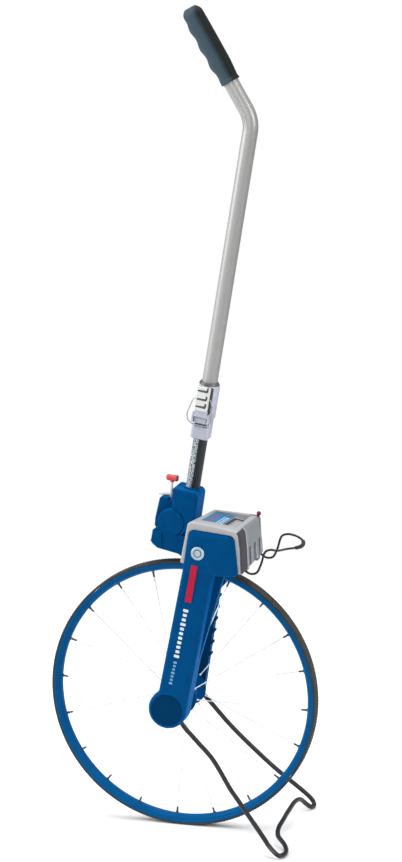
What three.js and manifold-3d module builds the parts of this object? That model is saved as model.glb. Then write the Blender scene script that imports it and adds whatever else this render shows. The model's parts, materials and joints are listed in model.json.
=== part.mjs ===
// Folding measuring wheel with a belt-driven counter, a telescopic pole and a folding stand.
// Millimetres. +Z up, +X towards the stand, +Y away from the counter's near side.
// Origin: where the tyre touches the ground, straight below the axle.
import * as THREE from 'three';
import { mergeVertices } from 'three/addons/utils/BufferGeometryUtils.js';
import Module from 'manifold-3d';

const wasm = await Module();
wasm.setup();

// ---------------------------------------------------------------- driving dimensions

const TYRE_RADIUS = 202;
const GAP = 0.3;

const WHEEL = {
  facets: 60, spokes: 20, halfWidth: 10, tyreInner: 198.7,
  rimOuter: 198.4, rimWall: 191.5, rimInner: 187.5,
};
const HUB = { barrel: 15, flange: 26, neck: 16, bore: 8, seat: 11.3, halfLength: 31, flangeY: 26 };
const AXLE_RADIUS = 5;

// The near arm carries the belt; its face planes along Y.
const ARM = { front: -94, split: -72.3, back: -60, wall: 2.5, lobe: 27, top: 211.7 };
const ARM_LEAN = 0.195;
const ARM_LEFT = -18.1;
const ARM_RIGHT = 27.7;
const FAR_ARM = { front: 35, back: 50, lobe: 20.5, top: 234 };

// Counter housing: its front outline leans with the arm, its top slopes down to the right.
const CASE = { front: -90, back: 26, floor: 212.3, wall: 2.5, slope: 0.299, ridgeX: 37.6, ridgeZ: 285.2 };
const DRUM = { x: 84, z: 252, radius: 14, width: 11.2, pitch: 11.6, first: -62.2, count: 5 };
const GEAR = { module: 0.8, driver: 48, driven: 32, angle: 10.8, yLow: -69, yHigh: -63 };
const BELT = { pitch: 3, wheelTeeth: 22, counterTeeth: 26, yLow: -81, yHigh: -72.6, thick: 1.5 };

// Pole: a line in the wheel's plane, leaning forward.
const POLE = { x: 13, z: 309.7, lean: 9.2, bendAt: 530, bend: 37.8, bendRadius: 50 };
const TUBE = { lower: 10.5, upperInner: 10.9, upper: 12 };
const FOLD = { x: -14, z: 262, pin: 4.8, cheek: 20, halfWidth: 23, tongue: 11.7 };
const LOCK = { x: -17.8, z: 319, lean: 4.5 };
const CLAMP = { bottom: 76.3, seat: 118, top: 155, ring: 163.5, hinge: 115, hingeY: -21.5 };
const GRIP = { length: 118, start: 57, radius: 15.5 };

// Stand: wire feet on the ground and a raised bar that passes outside the tyre.
const STAND = { wire: 3.3, nearEye: -55, farEye: 53.2 };
const RESET = { x: 96, z: 240, y: 18 };
const CATCH = { x: 104, z: 209, wire: 1.7, nearY: -55, farY: 40 };

// ---------------------------------------------------------------- materials

const finish = (color, roughness, metalness = 0) =>
  new THREE.MeshStandardMaterial({ color, roughness, metalness });

const MAT = {
  tyre: finish(0x24282b, 0.9),
  rim: finish(0x0b5fa8, 0.4),
  blue: finish(0x064f86, 0.4),
  darkBlue: finish(0x05345c, 0.45),
  steel: finish(0xb8bcc0, 0.3, 0.9),
  wire: finish(0x33373a, 0.45, 0.6),
  grey: finish(0xc9c8c4, 0.5),
  pale: finish(0xe9e6dd, 0.6),
  clear: finish(0xd9e0e4, 0.1),
  label: finish(0x4f95cc, 0.5),
  badge: finish(0xb9c7cf, 0.35, 0.4),
  black: finish(0x1a1c1e, 0.8),
  brass: finish(0xb79a55, 0.35, 0.9),
  blackTube: finish(0x2b3238, 0.35, 0.3),
  silverTube: finish(0xb2b2b0, 0.3, 0.7),
  cast: finish(0xaaafbb, 0.4, 0.5),
  lever: finish(0xd5d7d6, 0.4, 0.4),
  red: finish(0xe65050, 0.5),
  purple: finish(0x640a3c, 0.4),
};

// ---------------------------------------------------------------- solids and shapes

const rad = THREE.MathUtils.degToRad;
const vec = (x, y, z) => new THREE.Vector3(x, y, z);

// A closed geometry as a manifold solid, with its faces pointing out.
function solid(geometry) {
  const bare = geometry.clone();
  bare.deleteAttribute('normal');
  bare.deleteAttribute('uv');
  const merged = mergeVertices(bare, 1e-3);
  const position = merged.attributes.position;
  const index = merged.index.array;
  const corner = [vec(0, 0, 0), vec(0, 0, 0), vec(0, 0, 0)];
  const kept = [];
  let volume = 0;
  for (let i = 0; i < index.length; i += 3) {
    const [a, b, c] = [index[i], index[i + 1], index[i + 2]];
    if (a === b || b === c || c === a) continue;
    kept.push(a, b, c);
    [a, b, c].forEach((v, k) => corner[k].fromBufferAttribute(position, v));
    volume += corner[0].dot(corner[1].cross(corner[2]));
  }
  if (volume < 0) kept.reverse();
  return new wasm.Manifold(new wasm.Mesh({
    numProp: 3,
    vertProperties: new Float32Array(position.array),
    triVerts: new Uint32Array(kept),
  }));
}

function geometryOf(body) {
  const mesh = body.getMesh();
  const geometry = new THREE.BufferGeometry();
  geometry.setAttribute('position', new THREE.BufferAttribute(new Float32Array(mesh.vertProperties), 3));
  geometry.setIndex(new THREE.BufferAttribute(new Uint32Array(mesh.triVerts), 1));
  geometry.computeVertexNormals();
  return geometry;
}

const join = (first, ...rest) => rest.reduce((whole, piece) => whole.add(piece), first);
const cut = (first, ...rest) => rest.reduce((whole, piece) => whole.subtract(piece), first);

const outline = points => new THREE.Shape(points.map(([a, b]) => new THREE.Vector2(a, b)));

// A plate cut to an X-Z outline, between two planes across Y.
function plateY(shape, yLow, yHigh, curveSegments = 8) {
  const depth = yHigh - yLow;
  const geometry = new THREE.ExtrudeGeometry(shape, { depth, bevelEnabled: false, curveSegments });
  geometry.rotateX(Math.PI / 2);
  geometry.translate(0, yHigh, 0);
  return solid(geometry);
}

// A plate cut to an X-Y outline, between two heights.
function plateZ(shape, zLow, zHigh, curveSegments = 8) {
  const depth = zHigh - zLow;
  const geometry = new THREE.ExtrudeGeometry(shape, { depth, bevelEnabled: false, curveSegments });
  geometry.translate(0, 0, zLow);
  return solid(geometry);
}

function box(low, high) {
  const size = high.map((value, axis) => value - low[axis]);
  const geometry = new THREE.BoxGeometry(...size);
  geometry.translate(...low.map((value, axis) => value + size[axis] / 2));
  return solid(geometry);
}

// A profile of [radius, distance along the axis] turned about an axis.
function turned(profile, { at = [0, 0, 0], along = [0, 1, 0], segments = 24, phase = 0 } = {}) {
  const points = profile.map(([r, h]) => new THREE.Vector2(r, h));
  const geometry = new THREE.LatheGeometry(points, segments, phase);
  const direction = vec(...along).normalize();
  geometry.applyQuaternion(new THREE.Quaternion().setFromUnitVectors(vec(0, 1, 0), direction));
  geometry.translate(...at);
  return solid(geometry);
}

const disc = (radius, low, high) => [[0, low], [radius, low], [radius, high], [0, high]];
const ring = (inner, outer, low, high) =>
  [[outer, low], [outer, high], [inner, high], [inner, low], [outer, low]];

// The same profile with its radii measured to the middle of the facets.
const acrossFlats = (profile, facets) =>
  profile.map(([r, h]) => [r / Math.cos(Math.PI / facets), h]);

// Round wire or bar along a smooth curve through the given points.
function wire(points, radius, { sides = 6, steps = 40 } = {}) {
  const section = new THREE.Shape();
  section.absarc(0, 0, radius, 0, 2 * Math.PI, false);
  const path = new THREE.CatmullRomCurve3(points.map(p => vec(...p)), false, 'centripetal');
  return solid(new THREE.ExtrudeGeometry(section, {
    steps, extrudePath: path, bevelEnabled: false, curveSegments: sides,
  }));
}

// Outline of a toothed wheel in the X-Z plane, one tooth centred at the given angle.
function toothedShape(teeth, root, tip, rootShare, tipShare, angle, x, z) {
  const step = 2 * Math.PI / teeth;
  const points = [];
  for (let i = 0; i < teeth; i += 1) {
    const middle = angle + i * step;
    const corners = [[root, -rootShare], [tip, -tipShare], [tip, tipShare], [root, rootShare]];
    corners.forEach(([r, share]) => {
      const a = middle + share * step;
      points.push([x + r * Math.cos(a), z + r * Math.sin(a)]);
    });
  }
  return outline(points);
}

const bore = (radius, x, z, yLow, yHigh, segments = 16) =>
  turned(disc(radius, yLow, yHigh), { at: [x, 0, z], segments });

// ---------------------------------------------------------------- assembly helpers

const wheel = new THREE.Group();          // origin at the hub centre
wheel.position.z = TYRE_RADIUS;

function place(parent, name, body, material) {
  const mesh = new THREE.Mesh(geometryOf(body), material);
  mesh.name = name;
  parent.add(mesh);
  return mesh;
}

const part = (name, body, material) => place(wheel, name, body, material);

// ---------------------------------------------------------------- wheel

function makeWheel() {
  const { facets, halfWidth, tyreInner, rimOuter, rimWall, rimInner, spokes } = WHEEL;
  const flats = { segments: facets, phase: Math.PI / facets };
  const chamfer = 1.4;
  const tyre = [
    [tyreInner, -halfWidth], [TYRE_RADIUS - chamfer, -halfWidth], [TYRE_RADIUS, chamfer - halfWidth],
    [TYRE_RADIUS, halfWidth - chamfer], [TYRE_RADIUS - chamfer, halfWidth], [tyreInner, halfWidth],
    [tyreInner, -halfWidth],
  ];
  part('tyre', turned(acrossFlats(tyre, facets), flats), MAT.tyre);

  const crown = 3;
  const rim = [
    [rimOuter, -halfWidth], [rimOuter, halfWidth], [rimWall, halfWidth], [rimInner, crown],
    [rimInner, -crown], [rimWall, -halfWidth], [rimOuter, -halfWidth],
  ];
  part('rim', turned(acrossFlats(rim, facets), flats), MAT.rim);

  const { barrel, flange, neck, bore: hole, seat, halfLength: end, flangeY } = HUB;
  const seatDepth = 7.6;
  const half = [
    [barrel, flangeY - 6], [flange, flangeY - 1.5], [flange, flangeY + 1.5], [neck, flangeY + 2], [neck, end],
    [seat, end], [seat, end - seatDepth], [hole, end - seatDepth],
  ];
  const mirrored = half.map(([r, y]) => [r, -y]).reverse();
  part('hub_shell', turned([...mirrored, ...half, mirrored[0]], { segments: 20 }), MAT.blue);

  for (const [side, sign] of [['near', -1], ['far', 1]]) {
    const inner = end - seatDepth + GAP;
    const low = Math.min(sign * inner, sign * (end - GAP));
    const high = Math.max(sign * inner, sign * (end - GAP));
    const bearing = ring(AXLE_RADIUS + GAP, seat - GAP, low, high);
    part(`bearing_${side}`, turned(bearing, { segments: 20 }), MAT.steel);
  }

  const wireRadius = 1.1;
  const nipple = 1.9;
  const nippleLength = 8;
  const offset = -3.5;
  for (let i = 0; i < spokes; i += 1) {
    const angle = rad(offset + i * 360 / spokes);
    const side = i % 2 ? 1 : -1;
    const start = [flange + 0.7, side * flangeY];
    const stop = [rimInner - 0.8, side * 1.5];
    const length = Math.hypot(stop[0] - start[0], stop[1] - start[1]);
    const radial = (stop[0] - start[0]) / length;
    const profile = [
      [0, 0], [wireRadius, 0], [wireRadius, length - nippleLength], [nipple, length - nippleLength + 1],
      [nipple, length], [0, length],
    ];
    const along = [radial * Math.cos(angle), (stop[1] - start[1]) / length, radial * Math.sin(angle)];
    const at = [start[0] * Math.cos(angle), start[1], start[0] * Math.sin(angle)];
    const name = `spoke_${String(i + 1).padStart(2, '0')}`;
    part(name, turned(profile, { at, along, segments: 6 }), MAT.steel);
  }
}

// ---------------------------------------------------------------- belt drive

const toothRadius = teeth => teeth * BELT.pitch / (2 * Math.PI);
const driverRadius = GEAR.module * GEAR.driver / 2;
const drivenRadius = GEAR.module * GEAR.driven / 2;
const SHAFT = {
  x: DRUM.x - (driverRadius + drivenRadius) * Math.cos(rad(GEAR.angle)),
  z: DRUM.z - (driverRadius + drivenRadius) * Math.sin(rad(GEAR.angle)),
};

const pulley = (teeth, x, z) => {
  const tip = toothRadius(teeth) - 0.4;
  return plateY(toothedShape(teeth, tip - 1.1, tip, 0.3, 0.2, 0, x, z), BELT.yLow - 0.5, BELT.yHigh + 0.6);
};

// Outline of a belt round two circles, grown by a distance.
function beltShape(grow) {
  const small = toothRadius(BELT.wheelTeeth) + grow;
  const large = toothRadius(BELT.counterTeeth) + grow;
  const run = Math.atan2(SHAFT.z, SHAFT.x);
  const tilt = Math.acos((small - large) / Math.hypot(SHAFT.x, SHAFT.z));
  const shape = new THREE.Shape();
  shape.absarc(SHAFT.x, SHAFT.z, large, run - tilt, run + tilt, false);
  shape.absarc(0, 0, small, run + tilt, run - tilt + 2 * Math.PI, false);
  return shape;
}

const gear = (teeth, x, z, angle) => {
  const pitchRadius = GEAR.module * teeth / 2;
  const root = pitchRadius - 1.05;
  const tip = pitchRadius + 0.65;
  return plateY(toothedShape(teeth, root, tip, 0.29, 0.11, angle, x, z), GEAR.yLow, GEAR.yHigh);
};

function makeDrive() {
  const sleeve = 7.8;
  const hole = AXLE_RADIUS + 0.4;
  const flangeFace = -HUB.halfLength - GAP;
  const hubDisc = turned(disc(HUB.neck, flangeFace - 3.5, flangeFace), { segments: 20 });
  const barrel = turned(disc(sleeve, BELT.yLow - 0.5, flangeFace), { segments: 20 });
  const teeth = pulley(BELT.wheelTeeth, 0, 0);
  const wheelPulley = cut(join(hubDisc, barrel, teeth), bore(hole, 0, 0, -90, 0, 20));
  part('wheel_pulley', wheelPulley, MAT.pale);

  const loop = plateY(beltShape(BELT.thick), BELT.yLow, BELT.yHigh, 10);
  part('drive_belt', cut(loop, plateY(beltShape(0), BELT.yLow - 1, BELT.yHigh + 1, 10)), MAT.black);

  const shaftRadius = 3;
  const shaft = turned(disc(shaftRadius, BELT.yLow - 2, 2.2), { at: [SHAFT.x, 0, SHAFT.z], segments: 12 });
  const input = gear(GEAR.driver, SHAFT.x, SHAFT.z, rad(GEAR.angle));
  part('counter_shaft', join(shaft, pulley(BELT.counterTeeth, SHAFT.x, SHAFT.z), input), MAT.pale);
}

// ---------------------------------------------------------------- counter

function makeCounter() {
  const spindle = 2.5;
  const hole = spindle + GAP;
  const seen = { at: [DRUM.x, 0, DRUM.z], segments: 20 };
  for (let i = 0; i < DRUM.count; i += 1) {
    const low = DRUM.first + i * DRUM.pitch;
    let drum = turned(disc(DRUM.radius, low, low + DRUM.width), seen);
    if (i === 0) {
      const halfTooth = Math.PI / GEAR.driven;
      drum = join(drum, gear(GEAR.driven, DRUM.x, DRUM.z, rad(GEAR.angle) + Math.PI + halfTooth),
        turned(disc(8, GEAR.yHigh - 0.5, low + 0.5), seen));
    }
    part(`digit_drum_${i + 1}`, cut(drum, bore(hole, DRUM.x, DRUM.z, -75, 5, 12)), MAT.pale);
  }
  part('drum_spindle', turned(disc(spindle, -71.3, 2.4), { ...seen, segments: 12 }), MAT.steel);

  const plate = outline([[40, 215.1], [104, 215.1], [104, 258], [88, 262], [40, 262]]);
  const near = plateY(plate, -71.8, -69.4);
  const far = plateY(outline([[40, 215.1], [104, 215.1], [104, 252], [96, 262], [40, 262]]), 0.5, 2.9);
  const base = box([40, -71.8, 215.1], [104, 2.9, 217.5]);
  const stub = turned(disc(2, 2, RESET.y + 1.5), { at: [RESET.x, 0, RESET.z], segments: 12 });
  const frame = cut(join(near, far, base, stub),
    bore(3.3, SHAFT.x, SHAFT.z, -75, 5, 12), bore(hole, DRUM.x, DRUM.z, -75, 5, 12));
  part('counter_frame', frame, MAT.steel);
}

const topZ = x => CASE.ridgeZ - CASE.slope * (x - CASE.ridgeX);

// The housing's front outline, moved inwards by a wall thickness.
function housingShape(inset) {
  const floor = CASE.floor + inset;
  const leftX = z => 30.2 - ARM_LEAN * (279.5 - z) + inset * 1.02;
  const top = inset * 1.05;
  return outline([
    [leftX(floor), floor], [112.2 - inset, floor], [111.2 - inset, 240], [108.9 - inset, 254],
    [105 - inset, 261.8], [99.6 - inset * 0.7, topZ(99.6) - top],
    [CASE.ridgeX + inset * 0.6, CASE.ridgeZ - top], [33 + inset, 283.6 - top], [leftX(279.5), 279.5 - inset * 0.8],
  ]);
}

function makeHousing() {
  const { front, back, wall, floor } = CASE;
  const inside = plateY(housingShape(wall), front + wall, back - wall);
  const shell = cut(plateY(housingShape(0), front, back), inside);
  const windowSlot = box([74, -60, 262], [95, -3, 285]);
  const beltSlot = box([26, -87, 205], [62, -66, 216]);
  const labelBed = plateY(outline([
    [45.6, topZ(45.6) - 1.1], [71.4, topZ(71.4) - 1.1], [71.4, topZ(71.4) + 2], [45.6, topZ(45.6) + 2],
  ]), -80.4, -19.6);
  const leverSlot = box([89, RESET.y - 4, 254], [113, RESET.y + 4, 290]);
  const lug = (low, high) => box([99, low, 204.6], [109, high, floor + 1]);
  const pinHole = bore(CATCH.wire + 0.4, CATCH.x, CATCH.z, -60, 30, 12);
  const withLugs = join(shell, lug(-50, -40), lug(12, 22));
  part('counter_housing', cut(withLugs, windowSlot, beltSlot, labelBed, leverSlot, pinHole), MAT.grey);

  const strip = (x0, x1, down, thick) => outline([
    [x0, topZ(x0) - down - thick], [x1, topZ(x1) - down - thick],
    [x1, topZ(x1) - down], [x0, topZ(x0) - down],
  ]);
  part('counter_window', plateY(strip(74 + GAP, 95 - GAP, 0.7, 1.5), -60 + GAP, -3 - GAP), MAT.clear);
  part('label_plate', plateY(strip(46, 71, -0.1, 0.9), -80, -20), MAT.label);

  const { x, y, z } = RESET;
  const stem = outline([
    [x - 2, z + 2], [x + 2, z + 2], [108.4, 266], [109.4, 272.5], [106.4, 272.5], [105.2, 266.6],
  ]);
  const eye = cut(
    join(turned(disc(4.2, y - 3.2, y + 1), { at: [x, 0, z], segments: 16 }), plateY(stem, y - 2, y + 1)),
    bore(2.3, x, z, 0, y + 8, 12),
  );
  const tip = turned([[0, -3], [2.2, -2.2], [3, 0], [2.2, 2.2], [0, 3]],
    { at: [107.9, y, 274.3], along: [0, 0, 1], segments: 12 });
  part('reset_lever', join(eye, tip), MAT.purple);
}

// ---------------------------------------------------------------- arms and crown

// Where a leaning line x = a + m z meets the circle of a lobe, above the hub.
function meetCircle(a, m, r) {
  const k = 1 + m * m;
  const z = (-a * m + Math.sqrt(a * a * m * m - k * (a * a - r * r))) / k;
  return [a + m * z, z];
}

// Near arm's outline, moved inwards by a wall thickness; widen flares its upper right edge.
function armShape(inset, top, widen = 0) {
  const left = ARM_LEFT + inset * 1.02;
  const right = ARM_RIGHT - inset * 1.02;
  const lobe = ARM.lobe - inset;
  const edge = (a, z) => a + ARM_LEAN * z;
  const [meetX, meetZ] = meetCircle(left, ARM_LEAN, lobe);
  const shape = new THREE.Shape();
  shape.moveTo(edge(right, top) + widen, top);
  shape.lineTo(edge(left, top), top);
  shape.absarc(0, 0, lobe, Math.atan2(meetZ, meetX), 2 * Math.PI, false);
  if (widen) shape.lineTo(edge(right, 74), 74);
  return shape;
}

function makeArms() {
  const { front, split, back, wall, top } = ARM;
  const web = turned(disc(ARM.lobe - wall + 1, front + 2, -86), { segments: 24 });
  const panel = plateY(outline([
    [23, 206], [30.9, 256], [32.5, 262], [35, 267.5], [40, 270.8], [92.5, 265.6], [97, 263.6], [100.9, 258.7],
    [104.8, 226], [106.2, 213], [104, 209], [100, 207], [82, 206],
  ]), front, CASE.front - GAP);
  const shell = cut(
    join(plateY(armShape(0, top), front, split), panel),
    plateY(armShape(wall, top + 5), front + wall, split + 5),
  );
  const behindPanel = box([10, CASE.front - GAP, top], [120, split + 1, 300]);
  const capBed = turned(disc(20, front - 1, front + 2), { segments: 32 });
  const cover = cut(join(cut(shell, behindPanel), web), capBed, bore(AXLE_RADIUS + 0.2, 0, 0, -100, -80, 20));
  part('belt_cover', cover, MAT.blue);
  part('hub_cap', turned(disc(19.7, front + 0.5, front + 1.7), { segments: 32 }), MAT.darkBlue);

  const inner = cut(
    plateY(armShape(0, top, 13), split + GAP, back),
    plateY(armShape(wall, top + 5), split - 1, back - wall),
    bore(9.5, 0, 0, -70, -50, 20),
  );
  part('belt_case', inner, MAT.blue);

  const rightX = z => 20.9 + 0.149 * z;
  const far = new THREE.Shape();
  const lobe = FAR_ARM.lobe;
  const [leftX, leftZ] = meetCircle(-16.5, 0.149, lobe);
  far.moveTo(rightX(0), 0);
  far.lineTo(rightX(150), 150);
  far.lineTo(52.5, 160);
  far.lineTo(60, FAR_ARM.top);
  far.lineTo(12, FAR_ARM.top);
  far.lineTo(-16.5 + 0.149 * 150, 150);
  far.absarc(0, 0, lobe, Math.atan2(leftZ, leftX), 2 * Math.PI, false);
  const pocket = outline([[7, 34], [17, 34], [35, 148], [44, 162], [51, 226], [17, 226], [12, 150], [-2, 34]]);
  const axleHole = bore(AXLE_RADIUS + GAP, 0, 0, 20, 60, 20);
  const beam = plateY(far, FAR_ARM.front, FAR_ARM.back);
  part('far_arm', cut(beam, plateY(pocket, 39, 60), axleHole), MAT.darkBlue);

  const nearEnd = -91.6;
  const farEnd = 62;
  const nutY = 57.4;
  const nutHeight = 5.6;
  part('axle', turned(disc(AXLE_RADIUS, nearEnd, farEnd), { segments: 20 }), MAT.steel);
  const hexagon = turned(disc(8.4, nutY, nutY + nutHeight), { segments: 6 });
  const threadHole = bore(AXLE_RADIUS + GAP, 0, 0, nutY - 1, nutY + nutHeight + 1, 20);
  part('axle_nut', cut(hexagon, threadHole), MAT.steel);
}

function makeCrown() {
  const { x, z, cheek, halfWidth, tongue } = FOLD;
  const cheekShape = new THREE.Shape();
  cheekShape.moveTo(15.4, 214);
  cheekShape.lineTo(15.4, 243.3);
  cheekShape.lineTo(x + 8, 243.3);
  cheekShape.absarc(x, z, cheek, rad(-56), rad(196), false);
  cheekShape.lineTo(-42, 249);
  cheekShape.lineTo(-44.2, 232.7);
  cheekShape.lineTo(-34.4, 222.9);
  cheekShape.lineTo(-2.6, 216);
  const base = outline([
    [-34.4, 222.9], [-2.6, 216], [8, 207], [15, 204.9], [70, 204.9], [70, ARM.top], [15.4, ARM.top],
    [15.4, 230.4], [-43.9, 230.4],
  ]);
  const farFlange = outline([[8, 205], [62, 205], [60, FAR_ARM.top], [12, FAR_ARM.top]]);
  const crown = cut(
    join(
      plateY(cheekShape, -halfWidth, -tongue - GAP, 16),
      plateY(cheekShape, tongue + GAP, halfWidth, 16),
      plateY(base, -halfWidth, halfWidth),
      box([15, ARM.back + GAP, 204.9], [70, FAR_ARM.front - GAP, ARM.top]),
      plateY(farFlange, 29, FAR_ARM.front - GAP),
    ),
    bore(FOLD.pin + GAP, x, z, -20, 30, 20),
  );
  part('fork_crown', crown, MAT.blue);
  const pin = turned(disc(FOLD.pin, -19.5, halfWidth - 0.5), { at: [x, 0, z], segments: 20 });
  part('hinge_pin', pin, MAT.steel);
}

// ---------------------------------------------------------------- pole, fold joint and lock

const pole = new THREE.Group();           // local Z runs up the pole
pole.position.set(POLE.x, 0, POLE.z);
pole.rotation.y = rad(POLE.lean);
wheel.add(pole);

const lock = new THREE.Group();           // local Z runs up the lock rod
lock.position.set(LOCK.x, 0, LOCK.z);
lock.rotation.y = rad(LOCK.lean);
wheel.add(lock);

function makeFoldBlock() {
  const { x, z, cheek, halfWidth, tongue, pin } = FOLD;
  const socket = [Math.sin(rad(POLE.lean)), 0, Math.cos(rad(POLE.lean))];
  const block = new THREE.Shape();
  block.moveTo(18.4, 245);
  block.lineTo(26.6, 300);
  block.lineTo(25, 306.5);
  block.lineTo(21, 309.3);
  block.lineTo(-10, 314.2);
  block.lineTo(-11.5, 312.5);
  block.lineTo(-11.5, z + cheek);
  block.absarc(x, z, cheek + 0.7, rad(83), rad(-54), true);
  const lobe = outline([
    [-10, 245], [-24, 246.5], [-41.5, 251.5], [-39.8, 264.6], [-30.5, 296.5], [-19.8, 296.5], [-19, 293],
    [-6, 293], [2, 262],
  ]);
  const rodLine = [Math.sin(rad(LOCK.lean)), 0, Math.cos(rad(LOCK.lean))];
  const body = cut(
    join(
      plateY(block, -halfWidth, halfWidth, 16),
      plateY(lobe, -tongue, tongue),
      turned(disc(cheek - 1, -tongue, tongue), { at: [x, 0, z], segments: 32 }),
    ),
    bore(pin + GAP, x, z, -30, 30, 20),
    turned(disc(TUBE.lower + GAP, -34, 30), { at: [POLE.x, 0, POLE.z], along: socket, segments: 20 }),
    turned(disc(2.3, -90, 5), { at: [LOCK.x, 0, LOCK.z], along: rodLine, segments: 12 }),
    box([-27, -8, 271], [-15.8, 20, 289.5]),
  );
  part('fold_block', body, MAT.blue);
}

function makeLock() {
  const rod = turned(disc(1.8, -74.5, -0.4), { along: [0, 0, 1], segments: 10 });
  const collar = turned(disc(4, -46.5, -44), { along: [0, 0, 1], segments: 12 });
  const tab = box([-19, -4, -20.6], [0, 4, -19.1]);
  place(lock, 'lock_rod', join(rod, collar, tab), MAT.steel);

  const bar = turned([[0, -8.8], [4, -8.8], [4.9, -7.4], [4.9, 7.4], [4, 8.8], [0, 8.8]],
    { at: [0, 0, 5], along: [1, 0, 0], segments: 16 });
  place(lock, 'lock_knob', bar, MAT.red);

  const turns = 6;
  const [low, high] = [-43.3, -31];
  const helix = [];
  for (let i = 0; i <= turns * 8; i += 1) {
    const angle = i * Math.PI / 4;
    helix.push([3 * Math.cos(angle), 3 * Math.sin(angle), low + (high - low) * i / (turns * 8)]);
  }
  place(lock, 'lock_spring', wire(helix, 0.45, { sides: 2, steps: turns * 8 }), MAT.steel);
}

function makeTubes() {
  const up = [0, 0, 1];
  const lowerTop = 385;
  const lower = turned(ring(8.9, TUBE.lower, -33.5, lowerTop), { along: up, segments: 20 });
  place(pole, 'lower_tube', lower, MAT.blackTube);

  const { bendAt, bend, bendRadius } = POLE;
  const turn = rad(bend);
  const endLength = GRIP.start + GRIP.length - 6;
  const path = new THREE.CurvePath();
  const tangent = bendRadius * Math.tan(turn / 2);
  const corner = vec(0, 0, bendAt + tangent);
  const out = vec(-Math.sin(turn), 0, Math.cos(turn));
  const bendEnd = corner.clone().addScaledVector(out, tangent);
  path.add(new THREE.LineCurve3(vec(0, 0, bendAt - 12), vec(0, 0, bendAt)));
  path.add(new THREE.QuadraticBezierCurve3(vec(0, 0, bendAt), corner, bendEnd));
  path.add(new THREE.LineCurve3(bendEnd, bendEnd.clone().addScaledVector(out, endLength - tangent)));
  const section = new THREE.Shape();
  section.absarc(0, 0, TUBE.upper, 0, 2 * Math.PI, false);
  const bent = solid(new THREE.ExtrudeGeometry(section, {
    steps: 18, extrudePath: path, bevelEnabled: false, curveSegments: 10,
  }));
  const straight = turned(disc(TUBE.upper, CLAMP.seat + 0.4, bendAt - 6), { along: up, segments: 20 });
  const inside = turned(disc(TUBE.upperInner, CLAMP.seat - 1, bendAt - 16), { along: up, segments: 20 });
  place(pole, 'upper_tube', cut(join(straight, bent), inside), MAT.silverTube);

  const start = corner.clone().addScaledVector(out, GRIP.start);
  const r = GRIP.radius;
  const end = GRIP.length;
  const inner = TUBE.upper + GAP + 0.2;
  const grip = [
    [inner, 0], [13.2, 0], [14, 4], [r - 1, 18], [r, 40], [r - 0.8, 62], [r, 84], [r - 0.6, 100],
    [r - 3, 111], [r - 8, end], [0, end], [0, end - 4.5], [inner, end - 4.5], [inner, 0],
  ];
  const handle = turned(grip, { at: start.toArray(), along: out.toArray(), segments: 20 });
  place(pole, 'grip', handle, MAT.black);
}

function makeClamp() {
  const { bottom, seat, top, ring: ringTop, hinge, hingeY } = CLAMP;
  const up = [0, 0, 1];
  const block = outline([
    [-10, -15], [10, -15], [13, -12], [13, 8], [8, 13.5], [-8, 13.5], [-13, 8], [-13, -12],
  ]);
  const sleeve = outline([
    [-11, -14.5], [11, -14.5], [15, -8], [15.5, 4], [12, 12],
    [5, 15], [-5, 15], [-12, 12], [-15.5, 4], [-15, -8],
  ]);
  const ear = x => box([x - 1.3, hingeY - 3, 104], [x + 1.3, -9, hinge + 4]);
  const hook = outline([[-7.5, -23.5], [7.5, -23.5], [7.5, -14], [-7.5, -14]]);
  const body = cut(
    join(
      plateZ(block, bottom, 111),
      plateZ(sleeve, 110, top),
      plateZ(hook, 103.5, 108.5),
      turned(disc(14.6, top - 1, ringTop), { along: up, segments: 20 }),
      ear(-11.6), ear(11.6),
    ),
    turned(disc(TUBE.lower + 0.4, bottom - 5, seat + 1), { along: up, segments: 20 }),
    turned(disc(TUBE.upper + GAP, seat, ringTop + 5), { along: up, segments: 20 }),
    turned(disc(2.3, -20, 20), { at: [0, hingeY, hinge], along: [1, 0, 0], segments: 12 }),
    box([-8, -30, 97], [10, -12.4, 102.5]),
  );
  place(pole, 'clamp_body', body, MAT.cast);

  const axis = { at: [0, hingeY, hinge], along: [1, 0, 0], segments: 12 };
  const pivotY = hingeY - 0.4;
  const pivotZ = 140;
  const socket = (low, high) => turned(disc(1.5, low, high), { ...axis, at: [0, pivotY, pivotZ] });
  const plate = box([-9.5, hingeY - 3, hinge], [9.5, hingeY + 2.2, 152]);
  const grooves = [122, 130.5, 144.5].map(z => box([-7, hingeY - 5, z], [7, hingeY - 1.2, z + 3]));
  const lever = cut(
    join(plate, turned(disc(3, -9.9, 9.9), axis), turned(disc(2, -12.6, 12.6), axis)),
    ...grooves, socket(-20, -6), socket(6, 20),
  );
  place(pole, 'clamp_lever', lever, MAT.lever);

  const half = [[7, pivotZ], [11.5, pivotZ], [14.5, 138], [17.5, 128], [20.5, 115], [19, 106], [12, 101]];
  const right = half.map(([x, z]) => [x, pivotY, z]);
  const left = half.map(([x, z]) => [-x, pivotY, z]).reverse();
  const loop = [...right, [6, pivotY, 100.8], [-6, pivotY, 100.8], ...left];
  place(pole, 'clamp_bail', wire(loop, 1.1, { sides: 3, steps: 40 }), MAT.steel);
}

// ---------------------------------------------------------------- stand and catch

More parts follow.
